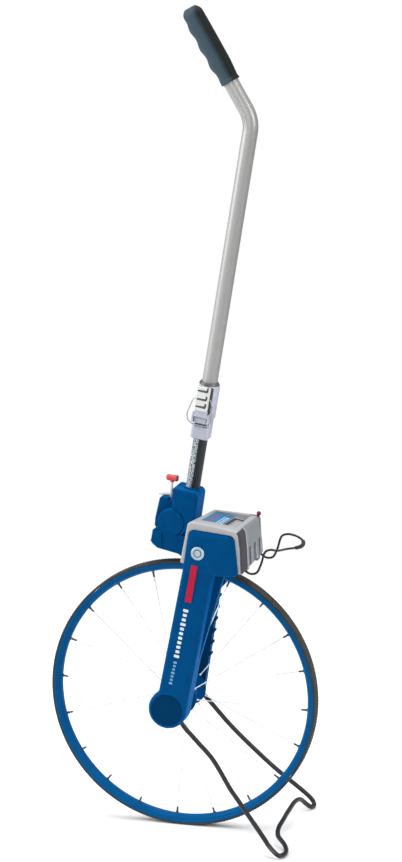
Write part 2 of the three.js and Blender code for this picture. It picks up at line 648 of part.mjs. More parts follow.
function makeStand() {
  const { wire: radius, nearEye, farEye } = STAND;
  const droop = 0.9;                      // of the smooth wire between the points on the ground
  const ground = radius + droop - TYRE_RADIUS;
  const path = [
    [5, nearEye - 1, -12], [13, nearEye - 1, -31], [36, nearEye - 1, -54], [63, nearEye - 2, -79],
    [100, -75, -119], [164, -107, -187], [175, -115, ground + 1.5], [178, -106, ground], [178, -90, ground],
    [172, -74, ground + 3], [158, -55, -189], [154, -38, -184], [154, -11, -180], [153, 25, -178],
    [153, 72, -177], [156, 90, -181], [162, 101, -191], [167, 109, ground], [169, 120, ground],
    [165, 124, ground + 6], [112, 91, -130], [60, 68, -68], [16, farEye + 4.2, -19], [4, farEye + 1.5, -9],
  ];
  const eye = (inner, y) => turned(ring(inner, inner + 5, y - 2.5, y + 2.5), { segments: 20 });
  const clearNear = bore(8.4, 0, 0, nearEye - 8, nearEye + 8, 20);
  const clearFar = bore(5.4, 0, 0, farEye - 8, farEye + 8, 20);
  const bar = wire(path, radius, { sides: 3, steps: 96 });
  const frame = cut(join(bar, eye(8.4, nearEye), eye(5.4, farEye)), clearNear, clearFar);
  part('stand_frame', frame, MAT.wire);

  const { x, z, nearY, farY } = CATCH;
  const side = [[x, z], [x + 12, z - 3], [124.5, 205.6], [130.5, 218], [137, 237], [145, 240.6], [154, 240]];
  const near = side.map(([px, pz]) => [px, nearY, pz]);
  const far = side.map(([px, pz]) => [px, farY, pz]).reverse();
  const hook = [[x, nearY + 16, z], [x, nearY + 2, z], ...near, [166, nearY + 12, 240.5], [176, -22, 238],
    [178, 0, 236], [172, farY - 14, 236], [162, farY - 2, 238], ...far, [x, farY - 2, z], [x, 6, z]];
  part('stand_catch', wire(hook, CATCH.wire, { sides: 3, steps: 66 }), MAT.wire);
}

function makeBadge() {
  const centre = [47.2, 238.3];
  const profile = [[0, -1.2], [9.7, -1.2], [9.7, 0.6], [8.6, 0.9], [0, 0.9]].map(([r, h]) => [r, -h]);
  const badge = turned(profile, { at: [centre[0], ARM.front - 1.5, centre[1]], segments: 32 });
  part('badge', badge, MAT.badge);
}

makeWheel();
makeDrive();
makeCounter();
makeHousing();
makeArms();
makeCrown();
makeFoldBlock();
makeLock();
makeTubes();
makeClamp();
makeStand();
makeBadge();

const measuringWheel = new THREE.Group();
measuringWheel.add(wheel);
export default measuringWheel;
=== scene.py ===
"""Looks of a folding measuring wheel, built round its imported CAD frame.

Shapes are given in millimetres from the hub's centre (HUB), up the pole (POLE) or up the lock rod
(LOCK), and the frame's matrices turn them into metres in the model's own frame.
"""

import json
from math import atan2, cos, degrees, pi, radians, sin, sqrt, tan

import bmesh
import bpy
from mathutils import Matrix, Vector


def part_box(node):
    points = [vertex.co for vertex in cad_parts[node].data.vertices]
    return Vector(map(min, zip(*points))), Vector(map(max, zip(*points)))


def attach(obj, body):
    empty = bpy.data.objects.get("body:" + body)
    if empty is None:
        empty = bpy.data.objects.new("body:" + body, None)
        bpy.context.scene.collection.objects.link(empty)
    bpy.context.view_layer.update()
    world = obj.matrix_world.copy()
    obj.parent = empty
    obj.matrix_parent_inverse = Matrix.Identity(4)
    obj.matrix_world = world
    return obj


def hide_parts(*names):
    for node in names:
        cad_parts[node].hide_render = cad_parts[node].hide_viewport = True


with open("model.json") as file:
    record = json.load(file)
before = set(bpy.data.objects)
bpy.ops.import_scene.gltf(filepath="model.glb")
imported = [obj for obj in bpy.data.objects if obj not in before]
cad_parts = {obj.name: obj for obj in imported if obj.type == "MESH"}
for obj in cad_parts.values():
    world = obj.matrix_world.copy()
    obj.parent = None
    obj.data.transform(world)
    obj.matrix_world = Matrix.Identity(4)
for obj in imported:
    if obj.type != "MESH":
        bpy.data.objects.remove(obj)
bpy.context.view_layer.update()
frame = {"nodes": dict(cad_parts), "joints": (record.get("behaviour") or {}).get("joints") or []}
joints = {joint["name"]: joint for joint in frame["joints"]}

MM = 0.001
TAU = 2 * pi


def leaning(origin, axis):
    """A frame in millimetres whose Z runs along a leaning axis in the wheel's plane."""
    lean = atan2(axis[0], axis[2])
    return HUB @ Matrix.Translation(origin) @ Matrix.Rotation(lean, 4, "Y")


HUB = Matrix.Translation(Vector(joints["wheel_spin"]["pos_m"])) @ Matrix.Scale(MM, 4)
POLE = leaning((13, 0, 309.7), joints["pole_slide"]["axis"])
LOCK = leaning((-17.8, 0, 319), joints["lock_pull"]["axis"])
CENTRE, UP = (0, 0, 0), (0, 0, 1)


def joint_x_z(name):
    """Where a joint's axis lies in the wheel's plane, in millimetres from the hub's centre."""
    place, hub = joints[name]["pos_m"], joints["wheel_spin"]["pos_m"]
    return place[0] / MM, place[2] / MM - hub[2] / MM


# ------------ camera, light and floor


def make_camera():
    """The photograph's view: a long lens, 15.7 degrees round from the front and 12.6 degrees up."""
    azimuth, elevation, distance = radians(15.66), radians(12.58), 5.0
    target = Vector((0.0257, 0, 0.5981))
    back = Vector((sin(azimuth) * cos(elevation), -cos(azimuth) * cos(elevation), sin(elevation)))
    data = bpy.data.cameras.new("camera")
    data.lens, data.sensor_width = 144.33, 36
    data.clip_start, data.clip_end = 0.1, 60
    camera = add_object("camera", data)
    camera.location = target + back * distance
    camera.rotation_mode = "QUATERNION"
    camera.rotation_quaternion = (-back).to_track_quat("-Z", "Y")
    bpy.context.scene.camera = camera


def add_object(name, data):
    made = bpy.data.objects.new(name, data)
    bpy.context.scene.collection.objects.link(made)
    return made


def area_light(name, place, power, size, aim=(0, 0, 0.55)):
    """A rectangular lamp at a place in metres, turned to the middle of the model."""
    data = bpy.data.lights.new(name, "AREA")
    data.shape, data.energy = "RECTANGLE", power
    data.size, data.size_y = size
    lamp = add_object(name, data)
    lamp.location = place
    lamp.rotation_euler = (Vector(aim) - Vector(place)).to_track_quat("-Z", "Y").to_euler()


def make_studio():
    """A white ground that only the camera sees as plain white, four soft lamps and a floor."""
    scene = bpy.context.scene
    scene.view_settings.view_transform = "Standard"
    world = bpy.data.worlds.new("studio")
    scene.world = world
    world.use_nodes = True
    nodes, link = world.node_tree.nodes, world.node_tree.links.new
    kinds = ("Background", "Background", "MixShader", "LightPath")
    seen, lit, mix, path = (nodes.new("ShaderNode" + kind) for kind in kinds)
    put(seen, Color=(1, 1, 1, 1))
    put(lit, Color=(0.93, 0.96, 1, 1), Strength=0.3)
    link(path.outputs["Is Camera Ray"], mix.inputs[0])
    link(lit.outputs[0], mix.inputs[1])
    link(seen.outputs[0], mix.inputs[2])
    link(mix.outputs[0], nodes["World Output"].inputs["Surface"])
    area_light("key", (-2.8, -1.3, 2.0), 125, (2.6, 2.8))
    area_light("edge", (2.9, -0.8, 1.7), 56, (0.7, 2.0))
    area_light("front", (0.2, -3.6, 1.6), 20, (1.6, 1.6))
    area_light("top", (0.3, 0.5, 3.2), 85, (3.0, 3.0))
    corners = ((-1.7, -1.1, 0), (1.7, -1.1, 0), (1.7, 1.3, 0), (-1.7, 1.3, 0))
    floor = loft("floor", [corners], Matrix.Identity(4))
    floor.data.materials.append(SURFACE["floor"])


# ------------ meshes


def loft(name, loops, space=HUB, caps=True, wrap=False):
    """A closed skin over loops of points, each with the same count; wrap joins the last to the first."""
    count, same_place = len(loops[0]), 1e-6
    mesh = bpy.data.meshes.new(name)
    verts = [space @ Vector(point) for loop in loops for point in loop]
    rows = range(len(loops)) if wrap else range(len(loops) - 1)
    faces = [
        (row * count + i, row * count + (i + 1) % count,
         (row + 1) % len(loops) * count + (i + 1) % count, (row + 1) % len(loops) * count + i)
        for row in rows for i in range(count)
    ]
    if caps and not wrap:
        faces.append(tuple(range(count)))
        if len(loops) > 1:
            faces.append(tuple(range((len(loops) - 1) * count, len(loops) * count)))
    mesh.from_pydata(verts, [], faces)
    bm = bmesh.new()
    bm.from_mesh(mesh)
    bmesh.ops.remove_doubles(bm, verts=bm.verts, dist=same_place)
    bmesh.ops.dissolve_degenerate(bm, edges=bm.edges, dist=same_place)
    bmesh.ops.recalc_face_normals(bm, faces=bm.faces)
    bm.to_mesh(mesh)
    bm.free()
    return add_object(name, mesh)


def rounded(corners, steps=6):
    """An outline whose corners with a third number are rounded to that radius, as far as there is room."""
    nearly_straight, most_of_edge = 1.56, 0.49
    points = []
    for i, corner in enumerate(corners):
        here = Vector(corner[:2])
        if len(corner) == 2 or corner[2] <= 0:
            points.append(here)
            continue
        before, after = Vector(corners[i - 1][:2]), Vector(corners[(i + 1) % len(corners)][:2])
        u, v = (before - here).normalized(), (after - here).normalized()
        half = u.angle(v) / 2
        if half > nearly_straight:
            points.append(here)
            continue
        room = most_of_edge * min((before - here).length, (after - here).length)
        reach = min(corner[2] / tan(half), room)
        centre = here + (u + v).normalized() * (reach / cos(half))
        start, stop = here + u * reach - centre, here + v * reach - centre
        sweep = start.angle_signed(stop)
        for k in range(steps + 1):
            turn = Matrix.Rotation(-sweep * k / steps, 2)
            points.append(centre + turn @ start)
    return points


def arc(centre, radius, start, stop, steps=24):
    """Points round a circle between two angles in degrees."""
    angles = [radians(start + (stop - start) * k / steps) for k in range(steps + 1)]
    return [(centre[0] + radius * cos(a), centre[1] + radius * sin(a)) for a in angles]


def shrink(corners, by):
    """The corners moved inwards by a distance, with radii that fit the smaller outline."""
    sharpest_mitre, least_radius = 0.5, 0.12
    points = [Vector(corner[:2]) for corner in corners]
    area = sum(a.cross(b) for a, b in zip(points, points[1:] + points[:1]))
    side = 1 if area > 0 else -1
    moved = []
    for i, here in enumerate(points):
        one = (here - points[i - 1]).normalized()
        two = (points[(i + 1) % len(points)] - here).normalized()
        mean = Vector((-one.y - two.y, one.x + two.x)).normalized() * side
        spot = here + mean * (by / max(sharpest_mitre, mean.dot(Vector((-one.y, one.x)) * side)))
        radius = corners[i][2] if len(corners[i]) > 2 else 0
        if radius:
            radius = max(least_radius, radius - by if one.cross(two) * side > 0 else radius + by)
        moved.append((spot.x, spot.y, radius))
    return moved


def edge_rows(low, high, edge, steps, between=()):
    """Rows of (distance inwards, height) from a low to a high face, with rounded edges at both.

    An edge is one radius or a pair for the two faces; each of a pair may be (reach inwards, depth).
    """
    pair = edge if isinstance(edge, tuple) else (edge, edge)
    (in_low, deep_low), (in_high, deep_high) = [e if isinstance(e, tuple) else (e, e) for e in pair]
    turns = [pi / 2 * k / steps for k in range(steps + 1)]
    rows = [(in_low * (1 - sin(a)), low + deep_low * (1 - cos(a))) for a in turns]
    rows += [(0, height) for height in between]
    return rows + [(in_high * (1 - sin(a)), high - deep_high * (1 - cos(a))) for a in turns[::-1]]


def plate(name, corners, low, high, edge=0.6, space=HUB, across="Y", steps=4):
    """A plate cut to an outline, between two heights across it."""
    loops = []
    for distance, height in edge_rows(low, high, edge, steps):
        ring = rounded(shrink(corners, distance))
        loops.append([(p.x, height, p.y) if across == "Y" else (p.x, p.y, height) for p in ring])
    return loft(name, loops, space)


def turned(name, profile, at=CENTRE, along=(0, 1, 0), space=HUB, segments=64, closed=False, ripple=None):
    """A profile of (radius, distance along the axis[, corner radius]) turned about an axis.

    Closed means a ring's section. A ripple gives a point's radius by its step round the axis.
    """
    tilt = Vector(UP).rotation_difference(Vector(along).normalized()).to_matrix().to_4x4()
    placed = space @ Matrix.Translation(at) @ tilt
    points = rounded(profile, 4)
    loops = []
    for point in points:
        loop = []
        for i in range(segments):
            angle = TAU * i / segments
            r = ripple(i, point.x, point.y) if ripple else point.x
            loop.append((r * cos(angle), r * sin(angle), point.y))
        loops.append(loop)
    return loft(name, loops, placed, caps=False, wrap=closed)


def ring(name, inner, outer, low, high, edge, *place, **more):
    profile = [(outer, low, edge), (outer, high, edge), (inner, high, edge), (inner, low, edge)]
    return turned(name, profile, *place, closed=True, **more)


def disc(name, radius, low, high, edge, *place, **more):
    return turned(name, [(0, low), (radius, low, edge), (radius, high, edge), (0, high)], *place, **more)


def curve_through(points, spans=8):
    """Centripetal Catmull-Rom points through the given ones."""
    known = [Vector(p) for p in points]
    known = [2 * known[0] - known[1], *known, 2 * known[-1] - known[-2]]
    path = []
    for a, b, c, d in zip(known, known[1:], known[2:], known[3:]):
        t1 = (b - a).length ** 0.5
        t2 = t1 + (c - b).length ** 0.5
        t3 = t2 + (d - c).length ** 0.5
        for k in range(spans):
            t = t1 + (t2 - t1) * k / spans
            ab, bc = a.lerp(b, t / t1), b.lerp(c, (t - t1) / (t2 - t1))
            cd = c.lerp(d, (t - t2) / (t3 - t2))
            abc, bcd = ab.lerp(bc, t / t2), bc.lerp(cd, (t - t1) / (t3 - t1))
            path.append(abc.lerp(bcd, (t - t1) / (t2 - t1)))
    return path + [known[-2]]


def tube(name, path, radius, space=HUB, sides=16, round_end=True):
    """A round bar along a path; radius is a number or a function of (distance, angle)."""
    points = [Vector(p) for p in path]
    last = len(points) - 1
    tangents = [(points[min(i + 1, last)] - points[max(i - 1, 0)]).normalized() for i in range(last + 1)]
    side = tangents[0].orthogonal().normalized()
    if abs(tangents[0].y) < 0.9:
        side = (Vector((0, 1, 0)) - tangents[0] * tangents[0].y).normalized()
    size = radius if callable(radius) else (lambda along, angle: radius)
    loops, travelled = [], 0.0
    for i, (point, tangent) in enumerate(zip(points, tangents)):
        if i:
            travelled += (point - points[i - 1]).length
            side = (side - tangent * side.dot(tangent)).normalized()
        other = tangent.cross(side)
        rings = [(0.0, 1.0)]
        if round_end and i == 0:
            rings = [(0.0, 0.6), (0.25, 0.9)]
        elif round_end and i == last:
            rings = [(-0.25, 0.9), (0.0, 0.6)]
        for shift, share in rings:
            ring = []
            for k in range(sides):
                angle = TAU * k / sides
                r = size(travelled, angle) * share
                centre = point + tangent * (shift * size(travelled, 0))
                ring.append(centre + (side * cos(angle) + other * sin(angle)) * r)
            loops.append(ring)
    return loft(name, loops, space)


def apply_modifier(thing, kind, **settings):
    modifier = thing.modifiers.new(kind, kind)
    for key, value in settings.items():
        setattr(modifier, key, value)
    with bpy.context.temp_override(object=thing, active_object=thing, selected_objects=[thing]):
        bpy.ops.object.modifier_apply(modifier=modifier.name)


def carve(thing, *tools):
    """Cuts the tools out of a piece and deletes them."""
    for tool in tools:
        apply_modifier(thing, "BOOLEAN", operation="DIFFERENCE", solver="EXACT", object=tool)
        bpy.data.objects.remove(tool)
    return thing


def merge(first, *others):
    """One object of several shapes, each keeping its own materials."""
    for other in others:
        bm = bmesh.new()
        bm.from_mesh(first.data)
        start = len(bm.faces)
        offset = len(first.data.materials)
        bm.from_mesh(other.data)
        bm.faces.ensure_lookup_table()
        for face in bm.faces[start:]:
            face.material_index += offset
        bm.to_mesh(first.data)
        bm.free()
        for material in other.data.materials:
            first.data.materials.append(material)
        bpy.data.objects.remove(other)
    return first


def paint(thing, surface):
    thing.data.materials.clear()
    thing.data.materials.append(SURFACE[surface])
    return thing


def block(name, low, high, edge=0.4, space=HUB):
    """A box between two corners, with rounded edges."""
    corners = [(low[0], low[2]), (high[0], low[2]), (high[0], high[2]), (low[0], high[2])]
    corners = [(x, z, edge) for x, z in corners] if edge else corners
    return plate(name, corners, low[1], high[1], edge, space, steps=2)


def settle(thing, body, stands_for=(), surface=None, crease=38):
    """Shades a piece, gives it its finish and lets it ride on its body."""
    if surface:
        paint(thing, surface)
    thing.data.shade_smooth()
    thing.data.set_sharp_from_angle(angle=radians(crease))
    apply_modifier(thing, "WEIGHTED_NORMAL", keep_sharp=True, weight=60)
    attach(thing, body)
    if stands_for:
        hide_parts(*stands_for)
    return thing


# ------------ surfaces

SURFACE = {}


def linear(red, green, blue):
    """A display colour, 0 to 255, as the linear colour that a shader takes."""
    share = [c / 255 for c in (red, green, blue)]
    return [c / 12.92 if c <= 0.04045 else ((c + 0.055) / 1.055) ** 2.4 for c in share] + [1]


def put(node, **values):
    """Sets a shader node's inputs; a name has _ where the input's has a space."""
    for name, value in values.items():
        node.inputs[name.replace("_", " ")].default_value = value


def surface(name, color, rough, metal=0.0, cloud=(60, 0.08), grain=(1400, 0.02), stretch=(1, 1, 1),
            gloss=0.5, sheen=None, painted_light=None, facing=None):
    """Adds a finish to SURFACE, with colour clouds, uneven gloss and a fine grain in the object's own space.

    cloud is (noise scale, change of colour), grain (noise scale, depth in mm), sheen (weight, colour).
    painted_light (noise scale, fade start, fade end, colour) lays a second colour over it as painted light
    or a painted reflection, as flecks or all over, and facing (x, y, z, fade start, fade end) keeps that to
    the faces that look that way.
    """
    made = bpy.data.materials.new(name)
    made.use_nodes = True
    nodes, link = made.node_tree.nodes, made.node_tree.links.new
    shader = nodes["Principled BSDF"]
    put(shader, Metallic=metal, Specular_IOR_Level=gloss)
    if sheen:
        put(shader, Sheen_Weight=sheen[0], Sheen_Roughness=0.5, Sheen_Tint=linear(*sheen[1]))
    place, mapping = nodes.new("ShaderNodeTexCoord"), nodes.new("ShaderNodeMapping")
    put(mapping, Scale=stretch)
    link(place.outputs["Object"], mapping.inputs["Vector"])

    def noise(scale, detail=3.0):
        node = nodes.new("ShaderNodeTexNoise")
        put(node, Scale=scale, Detail=detail)
        link(mapping.outputs["Vector"], node.inputs["Vector"])
        return node.outputs["Fac"]

    def ramp(value, low, high):
        node = nodes.new("ShaderNodeValToRGB")
        first, last = node.color_ramp.elements
        first.position, last.position = low, high
        link(value, node.inputs["Fac"])
        return first, last, node.outputs["Color"]

    base = linear(*color)[:3]
    dark, light, tint = ramp(noise(cloud[0]), 0.3, 0.7)
    dark.color = [c * (1 - cloud[1]) for c in base] + [1]
    light.color = [min(1, c * (1 + cloud[1])) for c in base] + [1]
    # Painted light: a second colour laid over the first, as flecks or all over, and with facing only on the
    # faces that look one way.
    if painted_light:
        scale, fade_start, fade_end, painted_colour = painted_light
        painted_amount = ramp(noise(scale, 6.0), fade_start, fade_end)[2]
        if facing:
            kinds = ("VectorMath", "MapRange", "Math")
            toward, fade, both = (nodes.new("ShaderNode" + kind) for kind in kinds)
            toward.operation, both.operation = "DOT_PRODUCT", "MULTIPLY"
            toward.inputs[1].default_value = facing[:3]
            put(fade, From_Min=facing[3], From_Max=facing[4])
            link(place.outputs["Normal"], toward.inputs[0])
            link(toward.outputs["Value"], fade.inputs["Value"])
            link(fade.outputs["Result"], both.inputs[0])
            link(painted_amount, both.inputs[1])
            painted_amount = both.outputs["Value"]
        mix = nodes.new("ShaderNodeMix")
        mix.data_type = "RGBA"
        put(mix, B=linear(*painted_colour))
        link(painted_amount, mix.inputs["Factor"])
        link(tint, mix.inputs["A"])
        tint = mix.outputs["Result"]
    link(tint, shader.inputs["Base Color"])

    uneven, spread = nodes.new("ShaderNodeMapRange"), 0.18
    put(uneven, To_Min=rough * (1 - spread), To_Max=rough * (1 + spread))
    link(noise(cloud[0] * 2.3), uneven.inputs["Value"])
    link(uneven.outputs["Result"], shader.inputs["Roughness"])

    bump = nodes.new("ShaderNodeBump")
    put(bump, Strength=0.6, Distance=grain[1] * MM)
    link(noise(grain[0], 2.0), bump.inputs["Height"])
    link(bump.outputs["Normal"], shader.inputs["Normal"])
    SURFACE[name] = made


def window_glass():
    """Hazy, half clear plastic over the figures."""
    made = bpy.data.materials.new("window")
    made.use_nodes = True
    nodes, link = made.node_tree.nodes, made.node_tree.links.new
    shader = nodes["Principled BSDF"]
    put(shader, Base_Color=(0.6, 0.57, 0.6, 1), Alpha=0.48)
    kinds = ("TexCoord", "TexNoise", "MapRange")
    place, haze, span = (nodes.new("ShaderNode" + kind) for kind in kinds)
    put(haze, Scale=240)
    put(span, To_Min=0.06, To_Max=0.16)
    link(place.outputs["Object"], haze.inputs["Vector"])
    link(haze.outputs["Fac"], span.inputs["Value"])
    link(span.outputs["Result"], shader.inputs["Roughness"])
    SURFACE["window"] = made


def make_surfaces():
    """Every finish. The colours are matched to the photograph under the lamps of make_studio."""
    blue_sheen, brushed, moulded = (0.5, (0, 150, 255)), (1, 1, 0.06), (1500, 0.05)
    surface("tyre", (54, 52, 47), 0.72, grain=(1800, 0.08), cloud=(90, 0.25), gloss=0.3)
    surface("rim", (0, 76, 126), 0.4, gloss=0.05, sheen=blue_sheen)
    for name, color in (("blue", (0, 64, 112)), ("blue_deep", (0, 48, 88)), ("blue_dark", (0, 45, 80))):
        surface(name, color, 0.5, gloss=0.02, grain=(1700, 0.03), sheen=blue_sheen)

    surface("steel", (205, 208, 210), 0.28, 1.0, grain=(900, 0.02))
    surface("spoke", (222, 226, 230), 0.3, 0.7, grain=(900, 0.02))
    surface("nipple", (70, 80, 90), 0.4, 0.6)
    surface("zinc", (170, 174, 178), 0.4, 0.9, cloud=(120, 0.15))
    surface("wire", (26, 26, 28), 0.38, 0.15, grain=(700, 0.05), cloud=(80, 0.2))

    for name, color in (("housing", (164, 164, 166)), ("housing_mid", (158, 159, 160)),
                        ("housing_side", (126, 130, 134))):
        surface(name, color, 0.5, grain=moulded, cloud=(40, 0.04))
    surface("trim", (70, 68, 73), 0.6, grain=moulded, gloss=0.1)
    # Painted shade for the faces inside the housing's flutes.
    surface("flute", (62, 70, 82), 0.5, grain=moulded)
    # Painted highlight for the pale strips beside the housing's flutes.
    surface("flute_highlight", (146, 151, 157), 0.5, grain=moulded)
    # Painted shade: near black for the window's slot.
    surface("cavity_shade", (42, 42, 44), 0.6)
    surface("pale", (232, 226, 220), 0.5, cloud=(60, 0.04))
    surface("digit", (28, 28, 32), 0.5)
    surface("label", (26, 116, 164), 0.35, cloud=(90, 0.06), gloss=0.3)
    surface("mark_red", (134, 74, 112), 0.4)
    surface("stripe_red", (172, 22, 52), 0.45, gloss=0.15)
    surface("stripe_white", (200, 212, 222), 0.45)
    surface("stripe_faint", (104, 146, 184), 0.36)
    surface("badge", (178, 196, 208), 0.3, 0.35, cloud=(200, 0.12))
    surface("badge_dark", (60, 84, 104), 0.4)
    window_glass()

    # Painted light: the rubber and the silver tube are painted lighter on their left sides, towards the key
    # lamp, and the black tube gets mottled pale flecks there as a painted reflection.
    surface("rubber", (19, 24, 23), 0.62, grain=(1300, 0.12), cloud=(70, 0.18), gloss=0.15,
            painted_light=(300, 0, 0.05, (62, 79, 90)), facing=(-0.82, -0.57, 0, 0, 0.48))
    surface("black_tube", (22, 30, 34), 0.4, grain=(420, 0.22), cloud=(150, 0.3), gloss=0.4,
            painted_light=(400, 0.36, 0.62, (186, 196, 202)), facing=(-0.578, -0.816, 0, 0.77, 0.85))
    surface("silver_tube", (136, 136, 133), 0.36, 0.25, cloud=(200, 0.05), grain=(1500, 0.03),
            stretch=brushed, painted_light=(200, 0, 0.05, (176, 176, 174)), facing=(-0.82, -0.57, 0, -0.9, 0.7))
    surface("clamp", (176, 178, 192), 0.4, 0.05, grain=(1100, 0.06))
    surface("lever", (212, 214, 212), 0.34, cloud=(70, 0.03))
    # The dark collar's colour, also used for the painted shade in the clamp's slot and gap.
    surface("collar", (96, 96, 94), 0.4, 0.3)
    # Painted shade at the bottoms of the clamp lever's grooves.
    surface("groove", (92, 92, 84), 0.5)
    surface("knob", (198, 66, 68), 0.36)
    surface("knob_end", (104, 52, 56), 0.45)
    surface("reset", (92, 5, 42), 0.34)
    surface("belt", (30, 32, 34), 0.7)
    surface("floor", (246, 246, 246), 0.85, cloud=(0.4, 0.005), grain=(300, 0.002), gloss=0.05)


# ------------ wheel

WHEEL_R, RIM_R, RIM_WALL, RIM_IN, HALF_WIDTH = 202, 198.4, 191.5, 187.5, 10


def mirrored(half):
    """A turned profile made of a far half and, before it, its mirror image."""
    return [(r, -y, *more) for r, y, *more in half][::-1] + half


def make_tyre():
    """The tyre, with fine ridges across its tread."""
    ridges, samples, groove = 260, 4, 0.9

    def tread(i, r, height):
        on_tread = r > WHEEL_R - 1 and abs(height) < HALF_WIDTH - 2
        return r - groove if on_tread and i % samples < samples / 2 else r

    profile = mirrored([(WHEEL_R, 7.6, 1), (200.9, 9.9, 1.2), (198.7, 9.6, 0.5)])
    tyre = turned("tyre_band", profile, segments=ridges * samples, closed=True, ripple=tread)
    settle(tyre, "wheel", ["tyre"], "tyre", crease=50)


def make_rim():
    half = [(RIM_R, 9.9, 0.8), (195.4, 9.9, 0.5), (194.6, 9.1, 0.5), (RIM_WALL, 8.6, 1.5), (188.4, 4.6, 2.5)]
    rim = turned("rim_band", [*mirrored(half), (RIM_IN, 0, 3)], segments=240, closed=True)
    settle(rim, "wheel", ["rim"], "rim")


def make_hub():
    half = [(15, 19, 4), (21, 22.6, 3), (26, 24.5, 0.8), (26, 27.5, 0.8), (17.5, 28, 1.5), (16, 30.9, 0.6),
            (11.4, 30.9, 0.4), (11.4, 23.4), (8, 23.4)]
    shell = turned("hub_barrel", mirrored(half), segments=72, closed=True)
    settle(shell, "wheel", ["hub_shell"], "blue")


def make_spokes():
    """Wires from the hub's two flanges to the rim, each with its nipple and an eyelet in the rim."""
    count, first_angle, flange_r, flange_y, rim_y = 20, -3.5, 26.7, 26, 1.5
    for i in range(count):
        angle, side = radians(first_angle + i * 360 / count), 1 if i % 2 else -1
        outward = Vector((cos(angle), 0, sin(angle)))
        start = outward * flange_r + Vector((0, side * flange_y, 0))
        along = outward * (RIM_IN - 0.8) + Vector((0, side * rim_y, 0)) - start
        end = along.length
        wire = [(0, 0), (1.5, 0, 0.4), (1.5, 1.6, 0.4), (0.75, 2.6), (0.75, end - 7.5), (0, end - 7.5)]
        cone = [(0, end - 8), (1.1, end - 8, 0.3), (1.5, end - 6.8), (1.5, end - 1.6), (2.1, end - 0.9),
                (2.1, end), (0, end)]
        rod = turned("rod", wire, start, along, segments=12)
        nipple = turned("nipple", cone, start, along, segments=12)
        spoke = merge(paint(rod, "spoke"), paint(nipple, "nipple"))
        spoke.name = f"spoke_rod_{i + 1:02d}"
        settle(spoke, "wheel", [f"spoke_{i + 1:02d}"])
        at = outward * (RIM_IN + 0.6)
        eyelet = ring(f"spoke_eyelet_{i + 1:02d}", 2.2, 3.0, -0.9, 0.5, 0.3, at, outward, segments=16)
        settle(eyelet, "wheel", surface="nipple")


# ------------ arms

WALL, PAST = 2.5, 5
ARM_LEAN, ARM_LEFT, ARM_RIGHT, LOBE_R = 0.195, -18.1, 28.7, 28.6
ARM_FRONT, ARM_SPLIT, ARM_BACK, ARM_TOP = -94, -72.3, -60, 211.7
PANEL_LIFT, PANEL_BACK, PANEL_LOW = 1.4, -90.3, 206


def lobe_start(left, lean, radius):
    """The angle, in degrees, at which a leaning edge left of the hub meets the circle round the hub."""
    k = 1 + lean ** 2
    z = (-left * lean + sqrt((left * lean) ** 2 - k * (left ** 2 - radius ** 2))) / k
    return degrees(atan2(z, left + lean * z))


def arm_outline(by=0.0, top=ARM_TOP, flare=0.0):
    """The near arm's outline moved inwards. A flare widens its right edge from the neck to the top."""
    slant, neck = 1.02, 74
    left, right, radius = ARM_LEFT + by * slant, ARM_RIGHT - by * slant, LOBE_R - by
    points = [(right + ARM_LEAN * top + flare, top), (left + ARM_LEAN * top, top)]
    points += arc((0, 0), radius, lobe_start(left, ARM_LEAN, radius), 360, 48)
    if flare:
        points.append((right + ARM_LEAN * neck, neck))
    return points


def make_belt_cover():
    """The near arm's outer shell and the counter's front panel, which has a darker lip behind it."""
    cover = plate("belt_cover_shell", arm_outline(), ARM_FRONT, ARM_SPLIT, (6.4, 0.5), steps=8)
    carve(cover,
          plate("inside", arm_outline(WALL, ARM_TOP + PAST), ARM_FRONT + WALL, ARM_SPLIT + PAST, (2, 0)),
          block("behind", (10, PANEL_BACK, ARM_TOP - 4.5), (120, -60, 300), 0),
          disc("cap_bed", 23.5, ARM_FRONT - 1, ARM_FRONT + 2.2, 0.3))
    corners = [(23, PANEL_LOW), (33.3, 271.4, 9), (100.1, 264.9, 9), (106.8, 206.6, 7), (80, 205.6, 6)]
    lip_corners = [(x, z + (1.2 if z > PANEL_LOW + 20 else 0), *radius) for x, z, *radius in corners]
    panel = plate("panel", corners, ARM_FRONT - PANEL_LIFT, PANEL_BACK, ((13, 4.6), 0.4), steps=10)
    lip = plate("panel_lip", lip_corners, PANEL_BACK - 1.3, PANEL_BACK + 0.1, (0.5, 0.2))
    merge(paint(cover, "blue"), paint(panel, "blue"), paint(lip, "blue_deep"))
    settle(cover, "frame", ["belt_cover"])


def make_hub_cap():
    profile = [(0, -93.1), (15.4, -93.1, 0.5), (16, -92.8, 0.3), (17.2, -92.8, 0.3), (17.8, -93.3, 0.4),
               (23.1, -93.0, 0.6), (23.1, -92.1), (0, -92.1)]
    cap = turned("hub_cap_disc", profile, segments=72)
    settle(cap, "frame", ["hub_cap"], "blue_dark")


def make_belt_case():
    """The near arm's inner shell, which widens towards the counter."""
    case = plate("belt_case_shell", arm_outline(flare=13), -72, ARM_BACK, (0.5, 2.6), steps=5)
    carve(case,
          plate("inside", arm_outline(WALL, ARM_TOP + PAST), -74, ARM_BACK - WALL, (0, 1)),
          disc("axle_hole", 9.5, -70, -50, 0, segments=48))
    settle(case, "frame", ["belt_case"], "blue")


